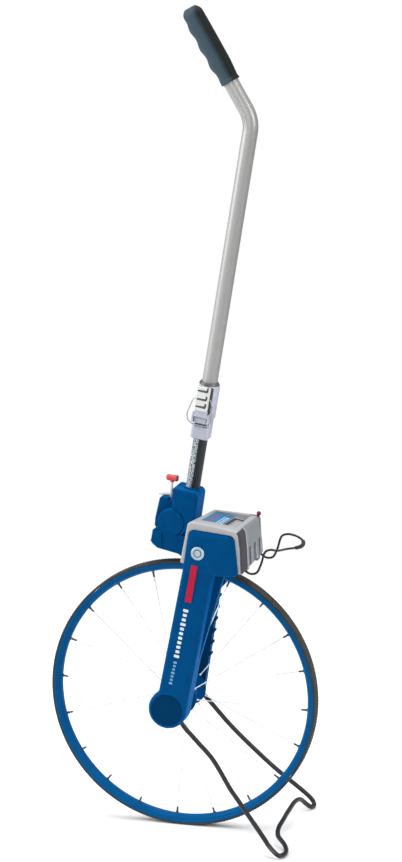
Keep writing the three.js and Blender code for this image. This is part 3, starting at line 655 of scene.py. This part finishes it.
def make_far_arm():
    """A beam with a pocket at its far side and a row of slanting ribs across it."""
    lean, left, radius, near, far = 0.149, -16.5, 20.5, 35, 50
    sides = [(20.9, 0), (43.25, 150), (52.5, 160, 5), (60, 234, 2), (12, 234, 2), (5.85, 150)]
    outline = sides + arc((0, 0), radius, lobe_start(left, lean, radius), 360, 40)
    arm = plate("far_arm_beam", outline, near, far, 1.2)
    pocket = [(7, 34, 4), (17, 34, 4), (35, 148, 5), (44, 162, 5), (51, 226, 4), (17, 226, 4), (12, 150, 5),
              (-2, 34, 4)]
    carve(arm, plate("pocket", pocket, near + 4, far + 10, (0.8, 0)))
    rib = [(-9, 0), (17.5, 3), (24.2, 4.2, 0.8), (24.6, 9, 0.8), (17.5, 6), (-9, 2.4)]
    first, pitch, count = 44, 18, 9
    for low in (first + step * pitch for step in range(count)):
        corners = [(x + lean * low, z + low, *rounding) for x, z, *rounding in rib]
        merge(arm, plate("rib", corners, near + 1, far - 1.6, (0.4, 0.6)))
    settle(arm, "frame", ["far_arm"], "blue_dark")


def arm_bar(name, start, stop, width, finish):
    """A thin printed bar on the arm's or the panel's front face between two points."""
    start, stop = Vector(start), Vector(stop)
    side = Vector((stop.y - start.y, start.x - stop.x)).normalized() * (width / 2)
    corners = [(*(p + s), 1.0) for p, s in ((start, side), (start, -side), (stop, -side), (stop, side))]
    face = ARM_FRONT - (PANEL_LIFT if start.y > PANEL_LOW else 0)
    return paint(plate(name, corners, face - 0.22, ARM_FRONT + 0.4, (0.05, 0), steps=1), finish)


def make_stripes():
    """A red bar and rows of dashes down the arm, in place of its lettering."""
    bar = arm_bar("stripe_red_bar", (42.6, 220), (32.8, 165), 9.4, "stripe_red")
    settle(bar, "frame")
    top, middle, low = Vector((29.6, 154)), Vector((14.4, 78)), Vector((5.4, 38))
    rows = ((top, middle, 11, 6.0, "stripe_white"), (middle.lerp(low, 0.08), low, 7, 4.0, "stripe_faint"))
    marks = []
    for start, stop, count, width, finish in rows:
        for i in range(count):
            ends = start.lerp(stop, i / count), start.lerp(stop, (i + 0.6) / count)
            marks.append(arm_bar("mark", *ends, width * (1.3 if i in (0, 3, count - 1) else 1.0), finish))
    white = merge(*marks)
    white.name = "stripe_white_dashes"
    settle(white, "frame")


def make_badge():
    """A plain ring badge on the panel, where the frame has its node."""
    low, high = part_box("badge")
    middle = HUB.inverted() @ ((low + high) / 2)
    at, towards = (middle.x, ARM_FRONT - PANEL_LIFT, middle.z), (0, -1, 0)
    profile = [(0, 1.0), (4.2, 0.9, 0.4), (4.6, 0.6), (6.0, 0.6), (6.4, 1.1, 0.3), (9.0, 1.1, 0.5),
               (9.7, 0.4), (9.7, -1.2), (0, -1.2)]
    badge = turned("badge_disc", profile, at, towards)
    groove = turned("groove", [(4.3, 0.66), (6.3, 0.66), (6.3, 0.3), (4.3, 0.3)], at, towards, closed=True)
    merge(paint(badge, "badge"), paint(groove, "badge_dark"))
    settle(badge, "frame", ["badge"])


# ------------ counter housing

CASE_FRONT, CASE_BACK, CASE_FLOOR = -90, 26, 212.3
CASE_NEAR = ((31, 283.6, 7), (68.3, 279.2), (107.4, 271.9, 9), (110.8, 245.7), (112.4, 208.8, 3),
             (18.8, 221, 2))
CASE_FAR = ((36.5, 274.6, 7), (69, 272.8), (109, 270.6, 5), (110.4, 245.7), (113.4, 214, 3), (24, 219, 2))
CASE_EDGE = 3.2
# the outline's points from the roof's right edge down the side, and the two along the side's lower half
EDGE_AND_SIDE, LOW_SIDE = slice(10, 18), slice(15, 17)
# where the light front frame ends, and where the darker side and its near corner begin
LIGHT_BACK, SIDE_LEFT, CORNER_LEFT, CORNER_TOP = -80, 104, 106, 262
FLUTES, FLUTE_LEFT, FLUTE_RIGHT, FLUTE_TOP = ((-48, -38), (-22, -12), (4, 14)), 109, 111.3, 244
TRAY = (44.5, 97, -66, 13)
CATCH_X, CATCH_Z = 104, 209


def case_outline(y, by=0.0):
    """The housing's outline at a place along it, moved inwards; the roof is flatter and lower behind."""
    share = (y - CASE_FRONT) / (CASE_BACK - CASE_FRONT)
    corners = [[n + (f - n) * share for n, f in zip(near, far)] for near, far in zip(CASE_NEAR, CASE_FAR)]
    return rounded(shrink(corners, by))


def case_skin(name, by, edge):
    """The housing's skin moved inwards by a distance, with its two ends rounded."""
    between = (LIGHT_BACK, -70, -60, -45, -30, -15, 0, 12)
    rows = edge_rows(CASE_FRONT + by, CASE_BACK - by, edge, 7, between)
    return loft(name, [[(p.x, y, p.y) for p in case_outline(y, by + more)] for more, y in rows])


def case_strip(name, low, high, lift, finish):
    """A strip over the housing's right side, from its bottom round into the roof's edge."""
    loops, steps, thickness = [], 12, 0.8
    for y in (low + (high - low) * (k / steps) ** 2 for k in range(steps + 1)):
        near = max(0.0, 1 - (y - CASE_FRONT) / CASE_EDGE)
        by = CASE_EDGE * (1 - sqrt(1 - near * near))
        outer, inner = (case_outline(y, by + more)[EDGE_AND_SIDE] for more in (-lift, thickness))
        loops.append([(p.x, y, p.y) for p in outer + inner[::-1]])
    return paint(loft(name, loops), finish)


def flute_land(start):
    """A pale raised strip down the housing's side, from where a flute ends: a painted highlight beside the
    flute.
    """
    lift, thickness, width, below_top = 0.35, 1, 6, 6
    loops = []
    for y in (start + 0.6, start + width):
        top, low = case_outline(y, -lift)[LOW_SIDE]
        outer = [(top.x, top.y - below_top), (low.x, low.y)]
        loops.append([(x, y, z) for x, z in outer + [(x - thickness, z) for x, z in outer[::-1]]])
    return paint(loft("flute_highlight", loops), "flute_highlight")


def catch_ear(near, far):
    """An ear under the housing with the hole that the catch's wire turns in."""
    x, bottom, root = CATCH_X, 204.8, CASE_FLOOR + 2.5
    outline = [(x - 5, bottom, 2.4), (x + 5, bottom, 2.4), (x + 6, root), (x - 6, root)]
    ear = plate("ear", outline, near, far, 0.8)
    hole = disc("hole", 2.1, near - 2, far + 2, 0, (x, 0, CATCH_Z), segments=24)
    return paint(carve(ear, hole), "housing_side")


def tray_z(x, y):
    """Height of the recess for the label and the window, which falls to the right and to the back."""
    corner_x, corner_y, corner_z, fall_right, fall_back = 44, -66, 279.6, 0.19, 0.075
    return corner_z - fall_right * (x - corner_x) - fall_back * (y - corner_y)


def on_tray(name, x0, x1, y0, y1, low, high):
    """A slab that follows the recess between two heights over it."""
    corners = ((x0, low), (x1, low), (x1, high), (x0, high))
    return loft(name, [[(x, y, tray_z(x, y) + lift) for x, lift in corners] for y in (y0, y1)])


def housing_finish(place, normal):
    """A face of the housing is light at the front frame, darker on the right side, and darkest in a flute,
    where the shade in the groove is painted on.
    """
    x, y, z = place
    # Painted shade: the faces inside a flute get the darkest colour.
    if FLUTE_LEFT < x < FLUTE_RIGHT and z < FLUTE_TOP and any(a - 0.5 < y < b + 0.5 for a, b in FLUTES):
        return "flute"
    if x > SIDE_LEFT and normal.x > 0.4 or y < LIGHT_BACK and x > CORNER_LEFT and z < CORNER_TOP:
        return "housing_side"
    return "housing" if y < LIGHT_BACK else "housing_mid"


def make_housing():
    x0, x1, y0, y1 = TRAY
    wall, sky = 1.6, 30
    shell = case_skin("housing_shell", 0, CASE_EDGE)
    hollow = case_skin("hollow", WALL, 1)
    carve(hollow, on_tray("tray", x0 - wall, x1 + wall, y0 - wall, y1 + wall, -wall, sky))
    cuts = [on_tray("recess", x0, x1, y0, y1, 0, sky),
            block("window_slot", (74, -60, 250), (95, 7, 290), 0),
            block("belt_slot", (26, -87, 205), (62, -66, 216), 0),
            block("lever_slot", (94, 15.4, 254), (116, 20.8, 290), 0)]
    flute = [(114.6, 211), (114.6, FLUTE_TOP), (111.4, 243), (110.1, 236, 2), (110.3, 214, 2)]
    cuts += [plate("flute", flute, low, high, 1.6, steps=3) for low, high in FLUTES]
    carve(shell, hollow, *cuts)

    finishes = ("housing", "housing_mid", "housing_side", "flute")
    shell.data.materials.clear()
    for finish in finishes:
        shell.data.materials.append(SURFACE[finish])
    for face in shell.data.polygons:
        face.material_index = finishes.index(housing_finish(HUB.inverted() @ face.center, face.normal))
    ears = [catch_ear(near, far) for near, far in ((-50, -40), (12, 22))]
    # The pale strips beside the flutes are painted highlights.
    highlight_strips = [flute_land(end) for _, end in FLUTES]
    merge(shell, *ears, case_strip("ridge", -62, -58.5, 0.9, "housing"), *highlight_strips)
    settle(shell, "frame", ["counter_housing"])

    trim = case_strip("housing_trim", -89.9, -62.2, 0.3, "trim")
    settle(trim, "frame")


def make_window():
    pane = on_tray("window_pane", 74.3, 94.7, -59.7, 6.7, -1.5, -0.5)
    settle(pane, "frame", ["counter_window"], "window")
    far_top = 262.4
    # Painted shade: dark sheets under the window's near and far edges, and dark walls round its slot.
    well_shade = merge(on_tray("window_well_shade", 74.3, 79.2, -59.6, 6.6, -0.45, -0.2),
                 on_tray("far_shade", 79.0, 94.7, 0.5, 6.6, -0.45, -0.2),
                 block("wall", (73.2, -60.6, 250), (74.1, 8, 266.4), 0.1),
                 block("wall", (94.9, -60.6, 250), (95.8, 8, far_top), 0.1),
                 block("wall", (74, 7.1, 250), (95, 7.8, far_top), 0.1),
                 block("wall", (74, -60.8, 250), (95, -60.1, 265), 0.1))
    settle(well_shade, "frame", surface="cavity_shade")


def make_label():
    """A blue film with plain red blocks and white lines, in place of its print."""
    x0, _, y0, y1 = TRAY
    label = paint(on_tray("label_film", x0 + 0.4, 73.4, y0 + 0.4, y1 - 0.4, -0.3, 0.25), "label")
    marks = []
    for i in range(5):
        x, y = 50 + 1.2 * (i % 2), -58 + 12 * i
        marks.append((x, x + 5.5, y, y + 8, "mark_red"))
    marks += [(x, x + 1.1, -58, -6, "stripe_white") for x in (63.5, 67, 70)]
    merge(label, *[paint(on_tray("mark", *spot, 0.2, 0.4), finish) for *spot, finish in marks])
    settle(label, "frame", ["label_plate"])


def make_reset_lever():
    x, z = joint_x_z("reset_press")
    y = 18
    route = [(x, y, z), (x + 5, y, z + 12), (x + 9.4, y, z + 25), (x + 11.6, y, z + 33)]
    tip = [(0, -3.2), (2.0, -3.0, 0.8), (3.2, -0.6, 1.2), (3.1, 1.8, 1.2), (1.6, 3.1, 0.8), (0, 3.3)]
    stem = tube("reset_stem", curve_through(route), 1.5)
    hub = ring("reset_hub", 2.4, 4.2, -3.2, 1, 0.5, (x, y, z), segments=32)
    knob = turned("reset_knob", tip, (x + 11.9, y, z + 34.3), (0.25, 0, 1), segments=32)
    settle(merge(stem, hub, knob), "reset", ["reset_lever"], "reset")


def drum_figure(digit, radius, middle, space):
    """A digit of the drum's figures, bent round the rim at its tenth of a turn."""
    half_thick = 0.09
    text = bpy.data.curves.new("figure", "FONT")
    text.body, text.size, text.align_x, text.align_y = str(digit), 7.5, "CENTER", "CENTER"
    text.resolution_u, text.extrude = 2, half_thick
    shown = add_object("figure", text)
    bpy.context.view_layer.update()
    solid = bpy.data.meshes.new_from_object(shown.evaluated_get(bpy.context.evaluated_depsgraph_get()))
    bpy.data.objects.remove(shown)
    start = TAU * digit / 10 + 0.25
    for vertex in solid.vertices:
        turn, reach = start + vertex.co.x / radius, radius - half_thick + vertex.co.z
        vertex.co = space @ Vector((reach * sin(turn), middle + vertex.co.y, reach * cos(turn)))
    return paint(add_object("figure", solid), "digit")


def make_drums():
    """Figure drums: the nearest one reads the fastest, with plain figures round each rim and a gear."""
    radius, first, pitch, width = 14, -62.2, 11.6, 11.2
    x, z = joint_x_z("drum_1_spin")
    space = HUB @ Matrix.Translation((x, 0, z))
    for drum in range(5):
        low = first + drum * pitch
        high = low + width
        profile = [(2.9, low + 0.6), (11.5, low + 0.6, 0.5), (12, low, 0.4), (radius - 0.15, low, 0.5),
                   (radius - 0.15, high, 0.5), (12, high, 0.4), (11.5, high - 0.6, 0.5), (2.9, high - 0.6)]
        rim = turned(f"figure_drum_{drum + 1}", profile, space=space, segments=80, closed=True)
        figures = [drum_figure(digit, radius, low + width / 2, space) for digit in range(10)]
        merge(paint(rim, "pale"), *figures)
        if drum == 0:
            merge(rim, drum_gear(radius, space))
        settle(rim, f"drum_{drum + 1}", [f"digit_drum_{drum + 1}"])


def drum_gear(radius, space):
    """The gear on the nearest drum's front, driven by the counter shaft."""
    samples, count, depth = 6, 32, 1.7

    def teeth(i, r, height):
        return r - depth if r > radius / 2 and i % samples >= samples / 2 else r

    gear = ring("gear", 2.9, 13.4, -69, -63, 0, space=space, segments=count * samples, ripple=teeth)
    return paint(gear, "pale")


# ------------ crown, fold block and lock

FOLD_X, FOLD_Z, CHEEK_R, JOINT_HALF, TONGUE_HALF, GAP = -14, 262, 20, 23, 11.7, 0.4


def make_crown():
    """Two cheeks on a base that spans the arms, with ribs under it and a post in front."""
    cheek = [(15.4, 214, 1), (15.4, 243.3, 1.5), *arc((FOLD_X, FOLD_Z), CHEEK_R, -66, 196, 40),
             (-41.6, 249.4, 3), (-44.2, 232.7, 6), (-34.4, 222.9, 6), (-2.6, 216)]
    base = [(-34.4, 222.9, 5), (-2.6, 216, 8), (8, 207, 6), (15, 204.9), (70, 204.9, 2), (70, 211.7, 0.6),
            (15.4, 211.7), (15.4, 230.4, 1), (-43.9, 230.4, 1)]
    flange = [(8, 205, 1), (62, 205, 1), (60, 233.8, 3), (12, 233.8, 3)]
    post = [(-44.3, 233, 3), (-34.6, 223.6, 4), (-26.5, 222, 2), (-26.5, 247.5, 3), (-40.2, 249.2, 3)]
    crown = plate("crown", cheek, -JOINT_HALF, -TONGUE_HALF - GAP, (1.8, 0.8))
    merge(crown,
          plate("cheek", cheek, TONGUE_HALF + GAP, JOINT_HALF, (0.8, 1.8)),
          plate("base", base, GAP - JOINT_HALF, JOINT_HALF - GAP, 1.6),
          block("bridge", (15, -59.6, 205), (70, 34.6, 211.6), 0.8),
          plate("flange", flange, 29, 34.6, (0.8, 0.2)),
          *[block("rib", (x, -58, 200.6), (x + 2.4, 33, 206), 0.6) for x in (24, 38, 52)],
          plate("post", post, -24.4, -22, (1.6, 0.2), steps=5))
    settle(crown, "frame", ["fork_crown"], "blue")


def make_fold_block():
    """The block that holds the pole's foot, with a tongue between the cheeks and holes for the lock."""
    socket = [(18.4, 244.8, 2.5), (27.9, 308.2, 8), (-11.5, 314.4, 3)]
    socket += arc((FOLD_X, FOLD_Z), CHEEK_R + 0.35, 83, -54, 30)
    tongue = [(-10, 245), (-24, 246.5, 6), (-42, 251.5, 5), (-41, 264.6, 20), (-33.6, 297.2, 4),
              (-19.8, 296.5, 1.5), (-19, 293, 1), (-6, 293), (2, 262)]
    body = plate("pole_socket", socket, -JOINT_HALF, JOINT_HALF, 3.4, steps=6)
    carve(body, disc("bore", 10.9, -19, 20, 0, CENTRE, UP, POLE, 48))
    parts = [plate("tongue", tongue, -TONGUE_HALF, TONGUE_HALF, 2.4),
             disc("eye", CHEEK_R - 1, -TONGUE_HALF, TONGUE_HALF, GAP, (FOLD_X, 0, FOLD_Z), segments=72)]
    for part in parts:
        for hole in ((2.3, -78, 5), (3.7, -46.7, -29)):
            carve(part, disc("rod_hole", *hole, 0, CENTRE, UP, LOCK, 32))
    mouth = [(10.7, -6, 0.4), (13.2, -6), (12.6, 3.0, 0.8), (10.8, 3.6, 0.4)]
    merge(body, *parts, turned("socket_rim", mouth, CENTRE, UP, POLE, 48, closed=True))
    settle(body, "pole_base", ["fold_block"], "blue")


def make_lock():
    """The rod with a collar and a thin tab, its cross-bar knob and its return spring."""
    wire = [(0, -74.5), (1.2, -74.5, 0.3), (1.8, -73.2), (1.8, 0.6), (0, 0.6)]
    rod = turned("lock_stem", wire, CENTRE, UP, LOCK, 24)
    collar = ring("collar", 1.7, 2.5, -46.5, -44, 0.2, CENTRE, UP, LOCK, 32)
    tab = tube("tab", [(-19, 0, -21.4), (-12, 0, -20.2), (-4, 0, -19.8), (0, 0, -19.8)],
               lambda along, angle: 2.4 if abs(cos(angle)) > 0.5 else 0.6, LOCK, 20)
    merge(paint(rod, "lever"), paint(collar, "steel"), paint(tab, "lever"))
    settle(rod, "lock", ["lock_rod"])

    middle, across = (0, 0, 5), (1, 0, 0)
    grip = [(0, -8.8), (2.8, -8.8, 0.8), (4.6, -7.2, 1.5), (4.2, 0, 8), (4.7, 5.6, 0.8), (4.7, 7.4, 0.4),
            (0, 7.4)]
    cap = [(0, 7.3), (4.5, 7.3, 0.3), (4.5, 8.4, 0.5), (3.2, 8.8, 0.4), (0, 8.8)]
    knob = turned("lock_grip", grip, middle, across, LOCK, 48)
    end = turned("end", cap, middle, across, LOCK, 48)
    neck = turned("neck", [(0, -1.2), (3.1, -1.2, 0.5), (3.4, 2.2), (0, 2.2)], CENTRE, UP, LOCK, 32)
    merge(paint(knob, "knob"), paint(end, "knob_end"), paint(neck, "knob"))
    settle(knob, "lock", ["lock_knob"])

    turns, radius, low, high, steps = 6, 3, -43.3, -31, 14
    coil = []
    for i in range(turns * steps + 1):
        angle, share = TAU * i / steps, i / (turns * steps)
        coil.append((radius * cos(angle), radius * sin(angle), low + (high - low) * share))
    settle(tube("lock_coil", coil, 0.4, LOCK, 8), "pole_base", ["lock_spring"], "steel")


# ------------ pole and clamp

BEND_AT, BEND, BEND_RADIUS = 530, radians(39.7), 50
BEND_REACH = BEND_RADIUS * tan(BEND / 2)
BEND_CORNER, BEND_OUT = Vector((0, 0, BEND_AT + BEND_REACH)), Vector((-sin(BEND), 0, cos(BEND)))
GRIP_START, GRIP_LENGTH = BEND_CORNER + BEND_OUT * 63, 117.5
UNDERSIDE = pi / 2


def make_tubes():
    """The straight black tube and the thin silver one that slides on it and bends towards the hand."""
    lower = ring("black_stage", 8.9, 10.4, -33.5, 384.5, 0.5, CENTRE, UP, POLE)
    settle(lower, "pole_base", ["lower_tube"], "black_tube")

    radius, inner, bend_steps = 11.2, 10.6, 16
    path = [(0, 0, z) for z in (118.6, 130, 300, 480, BEND_AT)]
    for turn in (BEND * k / bend_steps for k in range(1, bend_steps + 1)):
        path.append((-BEND_RADIUS * (1 - cos(turn)), 0, BEND_AT + BEND_RADIUS * sin(turn)))
    path += [BEND_CORNER + BEND_OUT * distance for distance in (BEND_REACH + 20, 100, 168)]
    upper = tube("silver_stage", path, radius, POLE, 64, round_end=False)
    carve(upper, disc("inside", inner, 100, BEND_AT - 14, 0, CENTRE, UP, POLE, 48))
    settle(upper, "upper_pole", ["upper_tube"], "silver_tube")


def grip_radius(along, angle):
    """Finger waves on the underside, a finely ribbed back, a flared mouth and a domed end."""
    mouth, mouth_r, dome = 3.5, 13.9, 12
    if along < mouth:
        return mouth_r
    share, tip = along / GRIP_LENGTH, GRIP_LENGTH - along
    under = max(0.0, cos(angle - UNDERSIDE)) ** 1.5
    waves = 1.1 * cos(TAU * 4 * share) * under
    ribs = 0.18 * cos(TAU * along / 3.2) * (1 - under)
    body = 13.1 + 1.7 * min(1, along / 26) + 0.5 * sin(pi * share)
    size = body + (waves + ribs) * min(1, tip / 20)
    return size if tip > dome else size * sqrt(max(0.02, 1 - (1 - tip / dome) ** 2 * 0.7))


def make_grip():
    steps = 94
    path = [GRIP_START + BEND_OUT * (GRIP_LENGTH * i / steps) for i in range(steps + 1)]
    handle = tube("hand_grip_sleeve", path, grip_radius, POLE, 48, round_end=False)
    settle(handle, "upper_pole", ["grip"], "rubber", crease=60)
    lip = ring("grip_lip", 11.4, 14.1, -1.6, 1.2, 0.8, GRIP_START, BEND_OUT, POLE, 48)
    settle(lip, "upper_pole", surface="rubber")


CLAMP_LOW, CLAMP_SEAT, CLAMP_TOP, COLLAR_TOP = 78.4, 118, 158.5, 162.4
HINGE_Y, HINGE_Z = -21.5, 115


def make_clamp_body():
    """A block round the black tube, a wider sleeve round the silver one, a latch and a dark collar, with
    dark sheets of painted shade in the latch's slot and in the gap beside the lever.
    """
    low_block = [(-10, -15, 1.5), (10, -15, 1.5), (13, -12, 2), (13, 8, 4), (8, 13.5, 4), (-8, 13.5, 4),
                 (-13, 8, 4), (-13, -12, 2)]
    sleeve = [(-10, -14.5, 2), (11, -14.5, 2), (15, -8, 3), (15.5, 4, 5), (12, 12, 5), (5, 15, 4),
              (-5, 15, 4), (-12, 12, 5), (-14, 4, 5), (-13, -8, 3)]
    latch = [(-9.8, -21.5, 1), (8.8, -21.5, 1), (8.8, -12, 1), (-9.8, -12, 1)]
    body = plate("clamp_shell", low_block, CLAMP_LOW, 111, (1.4, 0.8), POLE, "Z")
    upper = plate("sleeve", sleeve, 110, CLAMP_TOP, (1.0, 1.2), POLE, "Z")
    narrow, wide = (10.9, CLAMP_LOW - PAST, CLAMP_SEAT + 1, 0), (12.2, CLAMP_SEAT, COLLAR_TOP + PAST, 0)
    for piece, bore in ((body, narrow), (upper, narrow), (upper, wide)):
        carve(piece, disc("bore", *bore, CENTRE, UP, POLE, 48))
    parts = [block("ear", (x - 1.3, HINGE_Y - 3, 104), (x + 1.3, -9, HINGE_Z + 4), 0.7, POLE)
             for x in (-11.6, 11.6)]
    merge(body, upper, plate("latch", latch, 103.5, 111.4, 0.8, POLE, "Z"), *parts,
          block("pad", (-9, -15.6, 79.5), (9, -14.4, 96), 0.5, POLE))
    carve(body, block("slot", (-8, -30, 97), (10, -12.4, 102.5), 0, POLE))

    # Painted shade: dark sheets in the latch's slot and in the gap between the sleeve and the lever.
    shade = block("slot_shade", (-7.9, -12.9, 97.1), (9.9, -12.3, 102.4), 0.1, POLE)
    gap_shade = block("gap_shade", (-9.6, -14.9, CLAMP_SEAT), (11.2, -14.2, CLAMP_TOP - 1.5), 0.3, POLE)
    profile = [(11.4, CLAMP_TOP - 0.6, 0.3), (14.6, CLAMP_TOP - 0.6, 0.5), (15.0, CLAMP_TOP + 1.0, 0.6),
               (13.4, COLLAR_TOP, 1), (11.4, COLLAR_TOP, 0.3)]
    collar = turned("collar", profile, CENTRE, UP, POLE, closed=True)
    merge(paint(body, "clamp"), *[paint(part, "collar") for part in (shade, collar, gap_shade)])
    settle(body, "upper_pole", ["clamp_body"])


def make_clamp_lever():
    """A pale plate with three grooves, darkened by sheets of painted shade, on a root and a barrel that turn
    on a pin.
    """
    face, back, left, right, foot, top = HINGE_Y - 3, HINGE_Y + 2.2, -10.8, 8.4, 122.6, 158
    outline = [(left, foot, 0.8), (right, foot, 0.8), (right, top, 2), (left, top, 2)]
    lever = plate("lever_plate", outline, face, back, (1.0, 0.5), POLE)
    shades = []
    for z in (127.2, 138.2, 150.6):
        groove = [(-9.6, z, 0.8), (4.8, z - 0.4, 1.9), (6.2, z + 1.6, 1.6), (6.4, z + 7.4, 0.9),
                  (3.6, z + 7.4, 0.9), (3.2, z + 3.4, 1), (-9.6, z + 2.6, 0.8)]
        carve(lever, plate("groove", groove, face - 2, face + 1.9, (0, 0.3), POLE))
        # Painted shade: a dark sheet at the bottom of each groove.
        shade = plate("shade", groove, face + 1.5, face + 2.0, (0.1, 0), POLE, steps=1)
        shades.append(paint(shade, "groove"))
    low, high, left, right = HINGE_Z + 0.2, foot + 0.6, left + 0.6, right + 0.8
    root = plate("root", [(left, low, 1), (right, low, 1), (right, high), (left, high)], face + 0.5, back,
                 (0.8, 0.5), POLE)
    hinge, across = (0, HINGE_Y, HINGE_Z), (1, 0, 0)
    barrel = disc("barrel", 3, -9.8, 9.8, 0.6, hinge, across, POLE, 32)
    pin = disc("pin", 2, -12.6, 12.6, 0.5, hinge, across, POLE, 24)
    merge(paint(lever, "lever"), paint(root, "clamp"), paint(barrel, "clamp"), paint(pin, "steel"), *shades)
    settle(lever, "clamp_lever", ["clamp_lever"])


def make_clamp_bail():
    y = HINGE_Y - 0.4
    right = [(7, 140), (11, 139.6), (13, 135), (14.6, 125), (15.6, 115), (15, 106), (11, 101.4), (6, 100.8)]
    left = [(-6, 100.8), (-11, 101.2), (-18, 106), (-20.5, 115), (-17.5, 128), (-14.5, 138), (-11.5, 140),
            (-7, 140)]
    bail = tube("bail_wire", curve_through([(x, y, z) for x, z in right + left], 10), 0.85, POLE, 12)
    settle(bail, "clamp_bail", ["clamp_bail"], "zinc")


# ------------ stand and catch


def make_stand():
    """A bent wire with two feet, from an eye on the near end of the axle to one on the far end."""
    radius, near_eye, far_eye = 3.5, -55, 53.2
    ground = 4.6 - WHEEL_R
    route = [
        (5, near_eye - 1, -12), (13, near_eye - 1, -31), (34, near_eye - 1, -54), (59, near_eye - 2, -80),
        (92, -75, -119), (100, -79, -127), (149, -104, -177), (159, -109.5, -187.5),
        (175, -119, ground + 1.5), (180, -110, ground), (180, -94, ground),
        (172, -74, ground + 3), (158, -55, -189), (154, -38, -184), (154, -11, -180), (153, 25, -178),
        (153, 72, -177), (156, 90, -181), (162, 101, -191), (167, 109, ground), (169, 120, ground),
        (165, 124, ground + 6), (109, 91, -130), (54, 68, -68), (14, far_eye + 4.2, -19),
        (4, far_eye + 1.5, -9),
    ]
    stand = tube("stand_wire", curve_through(route, 12), radius, sides=20)
    for inner, y in ((8.4, near_eye), (5.4, far_eye)):
        merge(stand, ring("eye", inner, inner + 5, y - 2.5, y + 2.5, 1.6, segments=56))
    settle(stand, "stand", ["stand_frame"], "wire")


def make_catch():
    """A wire that hooks into the housing's ears, with a dark ringed sleeve on its cross-bar."""
    x, z, near, far, spans = CATCH_X, CATCH_Z, -55, 40, 10
    side = [(x, z), (x + 9, z - 5.5), (x + 14.5, z - 6), (124.5, 205.6), (130.5, 218), (137, 237),
            (145, 240.6), (154, 240)]
    bow = [(166, -43, 240.5), (176, -22, 238), (178, 0, 236), (172, 26, 236), (162, 38, 238)]
    route = [(x, near + 16, z), (x, near + 2, z), *[(a, near, b) for a, b in side], *bow,
             *[(a, far, b) for a, b in side[::-1]], (x, far - 2, z), (x, 6, z)]
    catch = tube("catch_wire", curve_through(route, spans), 1.65, sides=16)
    covered = slice(8, 30)
    sleeve = tube("sleeve", curve_through(bow, spans)[covered],
                  lambda along, angle: 2.7 + 0.35 * cos(along * 1.6), sides=20)
    merge(paint(catch, "wire"), paint(sleeve, "belt"))
    settle(catch, "catch", ["stand_catch"])


# ------------ inner pieces that keep their CAD shape

INNER = {
    "steel": ("bearing_near", "bearing_far", "axle", "hinge_pin", "drum_spindle"),
    "zinc": ("axle_nut", "counter_frame"),
    "pale": ("wheel_pulley", "counter_shaft"),
    "belt": ("drive_belt",),
}


def finish_inner():
    for finish, names in INNER.items():
        for name in names:
            thing = paint(frame["nodes"][name], finish)
            soften = thing.modifiers.new("edges", "BEVEL")
            soften.width, soften.segments, soften.limit_method = 0.25 * MM, 2, "ANGLE"
            soften.angle_limit = radians(40)


for make in (
    make_surfaces, make_camera, make_studio, make_tyre, make_rim, make_hub, make_spokes, make_belt_cover,
    make_hub_cap, make_belt_case, make_far_arm, make_stripes, make_badge, make_housing, make_window,
    make_label, make_reset_lever, make_drums, make_crown, make_fold_block, make_lock, make_tubes,
    make_grip, make_clamp_body, make_clamp_lever, make_clamp_bail, make_stand, make_catch, finish_inner,
):
    make()

bpy.context.view_layer.update()
